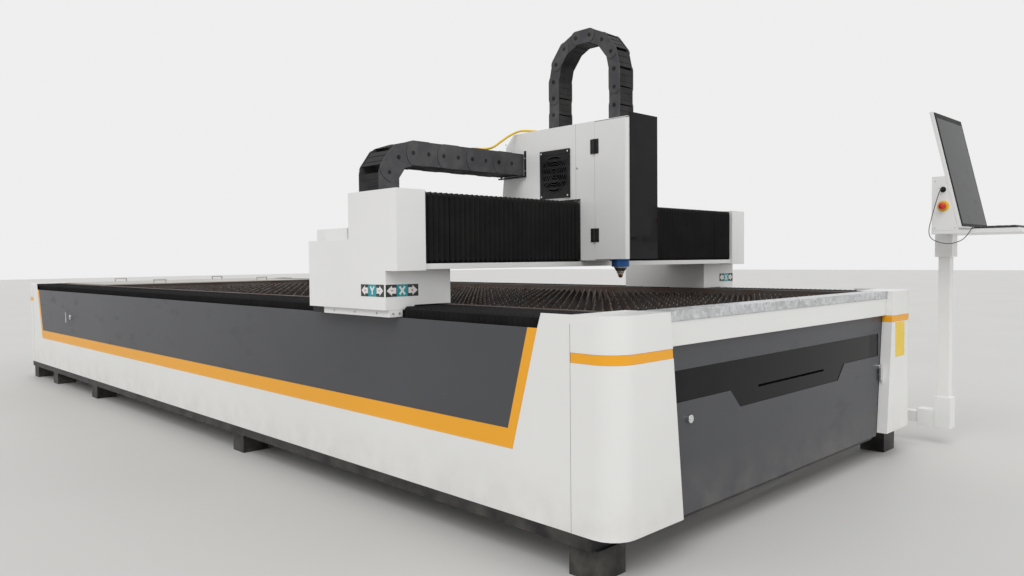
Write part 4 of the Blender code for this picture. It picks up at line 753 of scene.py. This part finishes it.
# cords, each along the points of its own route
cordLook = {"spans": 5, "steps": 4}
fibreLook = {"diameter": 0.012, "points": (
        (0.8, 1.56, 1.6835), (0.862, 1.562, 1.686), (0.93, 1.566, 1.703), (1.0, 1.572, 1.742),
        (1.062, 1.566, 1.78), (1.118, 1.54, 1.806), (1.172, 1.5, 1.8065), (1.216, 1.455, 1.801),
        (1.238, 1.42, 1.799), (1.246, 1.3977, 1.799))}
keyboardCordLook = {"diameter": 0.004, "points": (
        (2.6992, -0.284, 1.2405), (2.688, -0.284, 1.2405), (2.678, -0.282, 1.234), (2.67, -0.268, 1.205),
        (2.664, -0.236, 1.172), (2.66, -0.172, 1.156), (2.656, -0.1, 1.18), (2.652, -0.081, 1.225),
        (2.65, -0.095, 1.3), (2.649, -0.117, 1.385), (2.652, -0.133, 1.44), (2.661, -0.137, 1.4518),
        (2.6692, -0.137, 1.452))}


def smoothLine(points):
    # a smooth curve through the route's own points
    route = [spot(*p) for p in points]
    ends = [2 * route[0] - route[1]] + route + [2 * route[-1] - route[-2]]
    line = []
    for a, b, c, d in zip(ends, ends[1:], ends[2:], ends[3:]):
        for k in range(cordLook["spans"]):
            t = k / cordLook["spans"]
            line.append(0.5 * (2 * b + (c - a) * t + (2 * a - 5 * b + 4 * c - d) * t * t
                               + (3 * b - a - 3 * c + d) * t ** 3))
    return line + [route[-1]]


def makeCord(name, look, finish, body, stands):
    line = smoothLine(look["points"])
    data = bpy.data.curves.new(name, "CURVE")
    data.dimensions = "3D"
    data.bevel_depth, data.bevel_resolution = look["diameter"] / 2, cordLook["steps"]
    data.use_fill_caps = True
    spline = data.splines.new("POLY")
    spline.points.add(len(line) - 1)
    for point, at in zip(spline.points, line):
        point.co = (*at, 1)
    spline.use_smooth = True
    data.materials.append(finishes[finish])
    cord = bpy.data.objects.new(name, data)
    scene.collection.objects.link(cord)
    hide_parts(stands)
    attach(cord, body)


makeCord("fibreLead", fibreLook, "fibreJacket", "carriage", "fibre_cable")
makeCord("keyboardLead", keyboardCordLook, "cordJacket", "pendant_head", "keyboard_cord")
print("stage: cords")

# axis marks: black and teal tiles with a letter and two signed arrows
markLook = {"tile": 0.0006, "ink": 0.0003, "inkStep": 0.00002, "height": 0.052, "shares": (0.33, 0.67),
    "arrow": ((0, -0.24), (0.45, -0.24), (0.45, -0.42), (1, 0), (0.45, 0.42), (0.45, 0.24), (0, 0.24)),
    "arrowGap": 0.003, "arrowShort": 0.008, "signAt": 0.42, "signLong": 0.006, "signThin": 0.0015,
    "minusDepth": 0.0001, "plusDepth": 0.00012, "arm": 0.014, "rise": 0.017, "lap": 0.001,
    "stroke": 0.0045}


def makeAxisMark(name, foot, across, letter, length):
    shape, look = bmesh.new(), markLook
    foot, across, up = Vector(foot), Vector(across), Vector((0, 0, 1))
    out = across.cross(up)
    tall, ink = look["height"], look["tile"] + look["ink"]
    middle = tall / 2

    def flat(points, finish, level, depth):
        slab(shape, [foot + across * a + up * b + out * level for a, b in points], out, depth, finish)

    def bar(x, halfWide, halfTall, depth):
        flat([(x - halfWide, middle - halfTall), (x + halfWide, middle - halfTall),
              (x + halfWide, middle + halfTall), (x - halfWide, middle + halfTall)], 3, ink, depth)

    cuts = (0.0, look["shares"][0] * length, look["shares"][1] * length, length)
    for k, finish in enumerate((0, 1, 0)):
        flat([(cuts[k], 0), (cuts[k + 1], 0), (cuts[k + 1], tall), (cuts[k], tall)], finish, 0, look["tile"])
    for sign, start in ((-1, cuts[1] - look["arrowGap"]), (1, cuts[2] + look["arrowGap"])):
        reach = cuts[1] - look["arrowShort"]
        flat([(start + sign * reach * a, middle + tall * b) for a, b in look["arrow"]], 2, look["tile"],
             look["ink"])
        heart = start + sign * reach * look["signAt"]
        bar(heart, look["signLong"], look["signThin"], look["minusDepth"])
        if sign * (across.x + across.y) > 0:  # the upright stroke of a plus
            bar(heart, look["signThin"], look["signLong"], look["plusDepth"])
    centre, arm, rise = (cuts[1] + cuts[2]) / 2, look["arm"], look["rise"]
    strokes = {"X": (((-arm, -rise), (arm, rise)), ((-arm, rise), (arm, -rise))),
               "Y": (((-arm, rise), (0, 0)), ((arm, rise), (0, 0)), ((0, look["lap"]), (0, -rise)))}[letter]
    for k, (one, two) in enumerate(strokes):
        one, two = Vector(one), Vector(two)
        side = Vector((-(two - one).y, (two - one).x)).normalized() * look["stroke"]
        quad = (one + side, one - side, two - side, two + side)
        flat([(centre + p.x, middle + p.y) for p in quad], 2, look["tile"], look["ink"] + look["inkStep"] * k)
    makePiece(name, shape, ("markBlack", "markTeal", "markWhite", "stopRed"), "gantry")


makeAxisMark("axisMarkLeftY", (-1.6166, -2.037, 0.94), (0, -1, 0), "Y", 0.172)
makeAxisMark("axisMarkLeftX", (-1.616, -2.2201, 0.94), (1, 0, 0), "X", 0.172)
makeAxisMark("axisMarkRightX", (1.03, -2.2201, 0.937), (1, 0, 0), "X", 0.165)
makeAxisMark("axisMarkRightY", (1.1976, -2.209, 0.94), (0, 1, 0), "Y", 0.172)
print("stage: axis marks")

# screws: the profile is in shares of the radius and of the height that stands proud
screwLook = {"radius": 0.0055, "proud": 0.0022, "sunk": 0.0008, "sides": 14,
    "profile": ((1, 0.45), (0.8, 0.85), (0.45, 1), (0.42, 0.55), (0.05, 0.5))}


def addScrew(shape, place, axis, radius=None, finish=0):
    look = screwLook
    r = radius or look["radius"]
    lathe(shape, [(r, -look["sunk"])] + [(r * a, look["proud"] * b) for a, b in look["profile"]],
          place, axis, look["sides"], finish)


stripLook = {"outer": (-1.5985, 1.1795), "inner": (-1.5305, 1.1115), "front": -2.22, "rear": -1.7,
    "low": 0.8532, "high": 0.8828, "sheet": 0.0012, "screwRows": (-2.13, -1.96, -1.79),
    "screwShares": (0.28, 0.76), "screwLevel": 0.868}


def makeSaddleStrips():
    # pale strips screwed to the outer edges of the two saddles
    look, shape = stripLook, bmesh.new()
    front = look["front"] - look["sheet"]
    for outer, inner, sign, axis in zip(look["outer"], look["inner"], (-1, 1), ("-X", "X")):
        face = outer + sign * look["sheet"]
        block(shape, (min(face, outer), front, look["low"]), (max(face, outer), look["rear"], look["high"]))
        block(shape, (min(outer, inner), front, look["low"]),
              (max(outer, inner), look["front"], look["high"]))
        for y in look["screwRows"]:
            addScrew(shape, (face, y, look["screwLevel"]), axis, finish=1)
        for share in look["screwShares"]:
            addScrew(shape, (face + (inner - face) * share, front, look["screwLevel"]), "-Y", finish=1)
    makePiece("saddleStrips", shape, ("whiteHousing", "screwSteel"), "gantry")


hingeLook = {"heights": ((1.179, 1.247), (1.625, 1.698)), "overrun": 0.0004, "axis": (-0.4505, -2.39),
    "radius": 0.0064, "narrow": 0.85, "taper": 0.001, "sides": 20, "leaf": 0.0031, "reach": 0.0265,
    "gap": 0.0008, "face": -0.4444, "screw": 0.0035, "screwInset": 0.016, "edge": 0.0006}


def makeHinges():
    look = hingeLook
    (x, y), face, inset, taper = look["axis"], look["face"], look["screwInset"], look["taper"]
    outer, wide = face - look["leaf"], look["radius"]
    narrow = wide * look["narrow"]
    fixed, moving = bmesh.new(), bmesh.new()
    for low, high in look["heights"]:
        low, high = low - look["overrun"], high + look["overrun"]
        block(fixed, (outer, y + look["gap"], low), (face, y + look["reach"], high))
        block(moving, (outer, y - look["reach"], low), (face, y - look["gap"], high))
        lathe(fixed, [(narrow, 0), (wide, taper), (wide, high - low - taper), (narrow, high - low)],
              (x, y, low), "Z", look["sides"])
        for shape, sign in ((fixed, 1), (moving, -1)):
            for height in (low + inset, high - inset):
                addScrew(shape, (outer, y + sign * inset, height), "-X", look["screw"])
    makePiece("noseHingeFixed", fixed, ("blackPart",), "carriage", edge=look["edge"])
    makePiece("noseHingeLeaf", moving, ("blackPart",), "nose", edge=look["edge"])


fanLook = {"centre": (-2.121, 1.5425), "plate": (-0.4535, -0.4449), "plateHalf": (0.1, 0.1235),
    "face": -0.4548, "rings": 7, "first": 0.016, "step": 0.0125, "wire": 0.0042, "proud": 0.0026,
    "sunk": 0.0005, "shoulder": 0.6, "sides": 40, "spokes": (45, 135), "spokeHalf": 0.0022,
    "spokeProud": 0.8, "corner": (0.094, 0.115), "screw": 0.0045}


def makeFan():
    look, shape = fanLook, bmesh.new()
    (y, z), (outer, inner), (halfWide, halfTall) = look["centre"], look["plate"], look["plateHalf"]
    block(shape, (outer, y - halfWide, z - halfTall), (inner, y + halfWide, z + halfTall))
    wire, proud, shoulder = look["wire"], look["proud"], look["proud"] * look["shoulder"]
    for k in range(look["rings"]):
        r = look["first"] + k * look["step"]
        lathe(shape, [(r, -look["sunk"]), (r, shoulder), (r + wire * 0.5, proud), (r + wire, shoulder),
                      (r + wire, -look["sunk"])], (look["face"], y, z), "-X", look["sides"])
    centre = Vector((look["face"], y, z))
    for turn in (math.radians(a) for a in look["spokes"]):
        way = Vector((0, math.cos(turn), math.sin(turn)))
        side = Vector((0, -math.sin(turn), math.cos(turn))) * look["spokeHalf"]
        reach = look["first"] + (look["rings"] - 1) * look["step"]
        slab(shape, [centre + way * reach + side, centre + way * reach - side, centre - way * reach - side,
                     centre - way * reach + side], (-1, 0, 0), proud * look["spokeProud"])
    for a in (-1, 1):
        for b in (-1, 1):
            addScrew(shape, (look["face"], y + a * look["corner"][0], z + b * look["corner"][1]), "-X",
                     look["screw"], 1)
    makePiece("fanRings", shape, ("blackPart", "markWhite"), "carriage", soft=40)


housingLook = {"seam": ((-0.4448, -2.2647, 1.095), (-0.4444, -2.2633, 1.7885)),
    "screws": (((-0.4444, -2.273, 1.562), 0.0065), ((-0.4444, -1.745, 1.45), 0.004),
        ((-0.4444, -1.745, 1.74), 0.004)),
    "bracket": (((-0.462, -1.905, 1.545), (-0.4446, -1.696, 1.552)),
        ((-0.4475, -1.905, 1.552), (-0.4446, -1.889, 1.69)),
        ((-0.4475, -1.7125, 1.552), (-0.4446, -1.7, 1.69))),
    "bracketScrews": ((-0.4475, -1.897, 1.58), (-0.4475, -1.897, 1.65)), "edge": 0.0006}


def makeHousingTrim():
    # joint of the two side sheets, loose screws, and the bracket that holds the cable chain
    look, trim, bracket = housingLook, bmesh.new(), bmesh.new()
    block(trim, *look["seam"])
    for place, radius in look["screws"]:
        addScrew(trim, place, "-X", radius, 1)
    makePiece("housingTrim", trim, ("seamPale", "screwSteel"), "carriage")
    for low, high in look["bracket"]:
        block(bracket, low, high)
    for place in look["bracketScrews"]:
        addScrew(bracket, place, "-X", 0.004, 1)
    makePiece("chainBracket", bracket, ("blackPart", "screwSteel"), "carriage", edge=look["edge"])


bandLook = {"outer": 1.338, "front": 3.7036, "turnAt": (1.239, 3.8), "radius": 0.099, "steps": 8,
    "end": (1.0144, 3.899), "inner": 1.335, "shrink": 0.97, "middle": 0.2095, "level": 0.7418,
    "height": 0.0334}


def makeRearBands():
    # yellow strips in the grooves of the two rear posts
    look, shape = bandLook, bmesh.new()
    (cx, cy), radius, steps, shrink = look["turnAt"], look["radius"], look["steps"], look["shrink"]
    line = [(look["outer"], look["front"]), (look["outer"], cy)]
    line += [(cx + radius * math.cos(a), cy + radius * math.sin(a))
             for a in (math.pi / 2 * k / steps for k in range(1, steps + 1))]
    line.append(look["end"])
    inner = [(min(x, look["inner"]), y) if y < cy else (cx + (x - cx) * shrink, cy + (y - cy) * shrink)
             for x, y in line]
    for side in (-1, 1):
        outline = [Vector((side * x - look["middle"], y, look["level"])) for x, y in line + inner[::-1]]
        slab(shape, outline, (0, 0, 1), look["height"])
    makePiece("rearPostBands", shape, ("yellowBand",), "bed")


bedTrimLook = {"plate": ((0.8515, -3.389, 0.552), (0.9815, -3.3878, 0.738)), "plateEdge": 0.0003,
    "seamAcross": (-1.5487, 1.1293), "seamAlong": (-3.1918, 3.7027), "seamSize": (0.0004, 0.0013),
    "seamLevels": (0.156, 0.8735),
    "joint": (((-0.2091, -3.3586, 0.8675), (-0.2077, -3.3579, 0.905)),
        ((-0.2091, -3.3586, 0.9049), (-0.2077, -3.259, 0.9054))),
    "rivetsAcross": (-1.18, -0.75, -0.32, -0.1, 0.33, 0.76), "rivetAt": (-3.3, 0.905),
    "rivet": ((0.006, -0.001), (0.006, 0.0004), (0.0035, 0.0022), (0.0005, 0.0024)),
    "rivetSides": 14}


def makeBedTrim():
    # yellow plate on the right post, seams beside the posts, joint and rivets of the front edge plate
    look, plate, seams = bedTrimLook, bmesh.new(), bmesh.new()
    block(plate, *look["plate"])
    makePiece("yellowPlate", plate, ("plateYellow",), "bed", edge=look["plateEdge"])
    (thick, wide), (low, high) = look["seamSize"], look["seamLevels"]
    for x in look["seamAcross"]:
        for y in look["seamAlong"]:
            block(seams, (x, y, low), (x + thick, y + wide, high))
    for ends in look["joint"]:
        block(seams, *ends)
    for x in look["rivetsAcross"]:
        lathe(seams, look["rivet"], (x, *look["rivetAt"]), "Z", look["rivetSides"], 1)
    makePiece("frontPlateTrim", seams, ("seamDark", "screwSteel"), "bed", soft=40)


makeSaddleStrips()
makeHinges()
makeFan()
makeHousingTrim()
makeRearBands()
makeBedTrim()
print("stage: trim")

# cutting head: the profile is (radius, height over the tip, finish)
headFinishes = ("blueBody", "screwSteel", "copperTip", "ceramicRing")
blue, steel, copper, ceramic = range(4)
headLook = {"centre": (-0.3245, -2.458), "foot": 0.995, "sides": 40, "screws": 6, "screwTurn": 0.3,
    "screwRing": 0.038, "screwLevel": 1.359, "screw": 0.003, "profile": (
        (0.0008, 0.0, copper), (0.0035, 0.0, copper), (0.0062, 0.0012, copper),
        (0.0105, 0.0062, copper), (0.0128, 0.0125, copper), (0.0128, 0.0185, copper),
        (0.015, 0.0186, ceramic), (0.0158, 0.02, ceramic), (0.0158, 0.0245, ceramic),
        (0.0186, 0.0246, steel), (0.0192, 0.026, steel), (0.0192, 0.033, steel),
        (0.0226, 0.035, steel), (0.03, 0.048, steel), (0.033, 0.052, steel),
        (0.033, 0.056, steel), (0.0435, 0.0565, blue), (0.045, 0.058, blue),
        (0.045, 0.09, blue), (0.0432, 0.0915, blue), (0.0432, 0.0955, blue),
        (0.045, 0.097, blue), (0.045, 0.2, blue), (0.042, 0.202, steel),
        (0.042, 0.222, steel), (0.045, 0.224, blue), (0.045, 0.36, blue),
        (0.04, 0.364, steel), (0.04, 0.42, steel), (0.03, 0.424, steel),
        (0.03, 0.5, steel), (0.018, 0.504, blue), (0.018, 0.56, blue),
        (0.012, 0.565, blue))}


def makeHead():
    look, shape = headLook, bmesh.new()
    (x, y), ring = look["centre"], look["screwRing"]
    lathe(shape, look["profile"], (x, y, look["foot"]), "Z", look["sides"])
    for k in range(look["screws"]):
        angle = 2 * math.pi / look["screws"] * k + look["screwTurn"]
        addScrew(shape, (x + ring * math.cos(angle), y + ring * math.sin(angle), look["screwLevel"]), "Z",
                 look["screw"], 1)
    makePiece("laserHead", shape, headFinishes, "head", soft=35, stands=("cutting_head",))


makeHead()
print("stage: cutting head")

# pendant
stopLook = {"centre": (-3.527, 1.362), "face": 1.1465, "back": 0.0001, "sides": 40, "collarSides": 32,
    "ring": ((0.03, 0.0), (0.03, 0.0018), (0.028, 0.0026), (0.014, 0.0026), (0.0135, 0.0)),
    "collar": ((0.0135, 0.0), (0.0135, 0.0075), (0.0125, 0.008), (0.0105, 0.008)),
    "stem": ((0.01, -0.003), (0.01, 0.012), (0.015, 0.0135)), "capRadius": 0.0198,
    "dome": ((0.97, 0.0155), (1, 0.019), (0.97, 0.0245), (0.86, 0.0295), (0.66, 0.033),
        (0.4, 0.0345), (0.05, 0.0349))}


def makeStop():
    look, ring, cap = stopLook, bmesh.new(), bmesh.new()
    y, z = look["centre"]
    place = (look["face"] - look["back"], y, z)
    lathe(ring, look["ring"], place, "-X", look["sides"])
    lathe(ring, look["collar"], place, "-X", look["collarSides"], 1)
    makePiece("stopRing", ring, ("stopYellow", "blackPart"), "pendant_head", soft=35)
    dome = [(look["capRadius"] * share, along) for share, along in look["dome"]]
    lathe(cap, [*look["stem"], *dome], (look["face"], y, z), "-X", look["sides"])
    makePiece("stopCap", cap, ("stopRed",), "estop", soft=50, stands=("estop_button",))


socketLook = {"centre": (-3.525, 1.452), "radius": 0.0155, "sides": 32, "pins": 4, "pinRing": 0.75,
    "ring": ((1, 0.0), (1, 0.0014), (0.86, 0.0024), (0.62, 0.0024), (0.6, 0.0)),
    "pin": ((0.0012, 0.002), (0.0012, 0.0028), (0.0003, 0.003)), "pinSides": 8}


def makeSocket():
    look, shape = socketLook, bmesh.new()
    (y, z), r, face = look["centre"], look["radius"], stopLook["face"]
    lathe(shape, [(r * share, along) for share, along in look["ring"]], (face - stopLook["back"], y, z), "-X",
          look["sides"])
    for k in range(look["pins"]):
        angle = math.pi / 2 * k + math.pi / 4
        reach = r * look["pinRing"]
        lathe(shape, look["pin"], (face, y + reach * math.cos(angle), z + reach * math.sin(angle)), "-X",
              look["pinSides"])
    makePiece("leadSocket", shape, ("blackPart",), "pendant_head", soft=40)


screenLook = {"lean": math.radians(13.1), "margin": 0.012, "top": 0.03, "foot": 0.014, "proud": 0.0001,
    "glass": 0.0003}


def makeScreen():
    # the dark picture area behind the glass, set in a black border
    look, shape = screenLook, bmesh.new()
    up = Vector((0, math.sin(look["lean"]), math.cos(look["lean"])))
    out = Vector((0, -math.cos(look["lean"]), math.sin(look["lean"])))
    points = [v.co for v in nodes["monitor_screen"].data.vertices]
    level = max(p.dot(out) for p in points) + look["proud"]
    low, high = min(p.dot(up) for p in points) + look["foot"], max(p.dot(up) for p in points) - look["top"]
    left, right = min(p.x for p in points) + look["margin"], max(p.x for p in points) - look["margin"]
    outline = [Vector((x, 0, 0)) + up * s + out * level
               for x, s in ((left, low), (right, low), (right, high), (left, high))]
    slab(shape, outline, out, look["glass"])
    makePiece("pictureArea", shape, ("screenGlass",), "pendant_head")


keyLook = {"low": (1.1515, -3.882), "high": (1.6015, -3.66), "base": 1.2283, "plinth": 0.006, "inset": 0.003,
    "deck": 1.2402, "top": 1.2478, "sunk": 0.0004, "rowStep": 0.0006, "rows": 6, "pitch": 0.0193,
    "gap": 0.0028, "margin": 0.012, "spare": 0.9, "taper": (0.0018, 0.0022), "edge": 0.0006,
    "wideKeys": {(0, 4): 5.5, (1, 0): 1.7, (2, 0): 1.4}}  # (row, place in the row): width in keys


def makeKeyboard():
    look, shape = keyLook, bmesh.new()
    (x0, y0), (x1, y1), plinth = look["low"], look["high"], look["base"] + look["plinth"]
    inset, margin, half = look["inset"], look["margin"], look["gap"] / 2
    block(shape, (x0, y0, look["base"]), (x1, y1, plinth), 0)
    block(shape, (x0 + inset, y0 + inset, plinth), (x1 - inset, y1 - inset, look["deck"]), 1)
    end = x0 + margin + (x1 - x0 - 2 * margin)
    rowDepth = (y1 - y0 - 2 * margin) / look["rows"]
    for row in range(look["rows"]):
        y = y0 + margin + row * rowDepth
        x, index = x0 + margin, 0
        while x < end - look["pitch"] * look["spare"]:
            size = min(look["pitch"] * look["wideKeys"].get((row, index), 1), end - x)
            low = (x + half, y + half, look["deck"] - look["sunk"])
            high = (x + size - half, y + rowDepth - half, look["top"] - look["rowStep"] * (row % 2))
            corners = block(shape, low, high, 2)
            middle = (Vector(low) + Vector(high)) / 2
            for v in corners:
                if v.co.z > middle.z:
                    v.co.x += math.copysign(look["taper"][0], middle.x - v.co.x)
                    v.co.y += math.copysign(look["taper"][1], middle.y - v.co.y)
            x, index = x + size, index + 1
    makePiece("keyDeck", shape, ("trayWhite", "blackPart", "keyCap"), "pendant_head", edge=look["edge"],
              stands=("keyboard",))


boxScrewLook = {"faces": ((1.1464, "-X"), (1.6166, "X")), "radius": 0.0032,
    "places": ((-3.585, 1.243), (-3.485, 1.243), (-3.485, 1.5))}


def makePendantTrim():
    look, shape = boxScrewLook, bmesh.new()
    for x, axis in look["faces"]:
        for place in look["places"]:
            addScrew(shape, (x, *place), axis, look["radius"])
    makePiece("pendantScrews", shape, ("screwSteel",), "pendant_head", soft=40)


makeStop()
makeSocket()
makeScreen()
makeKeyboard()
makePendantTrim()
print("stage: pendant")

print("stage: done")
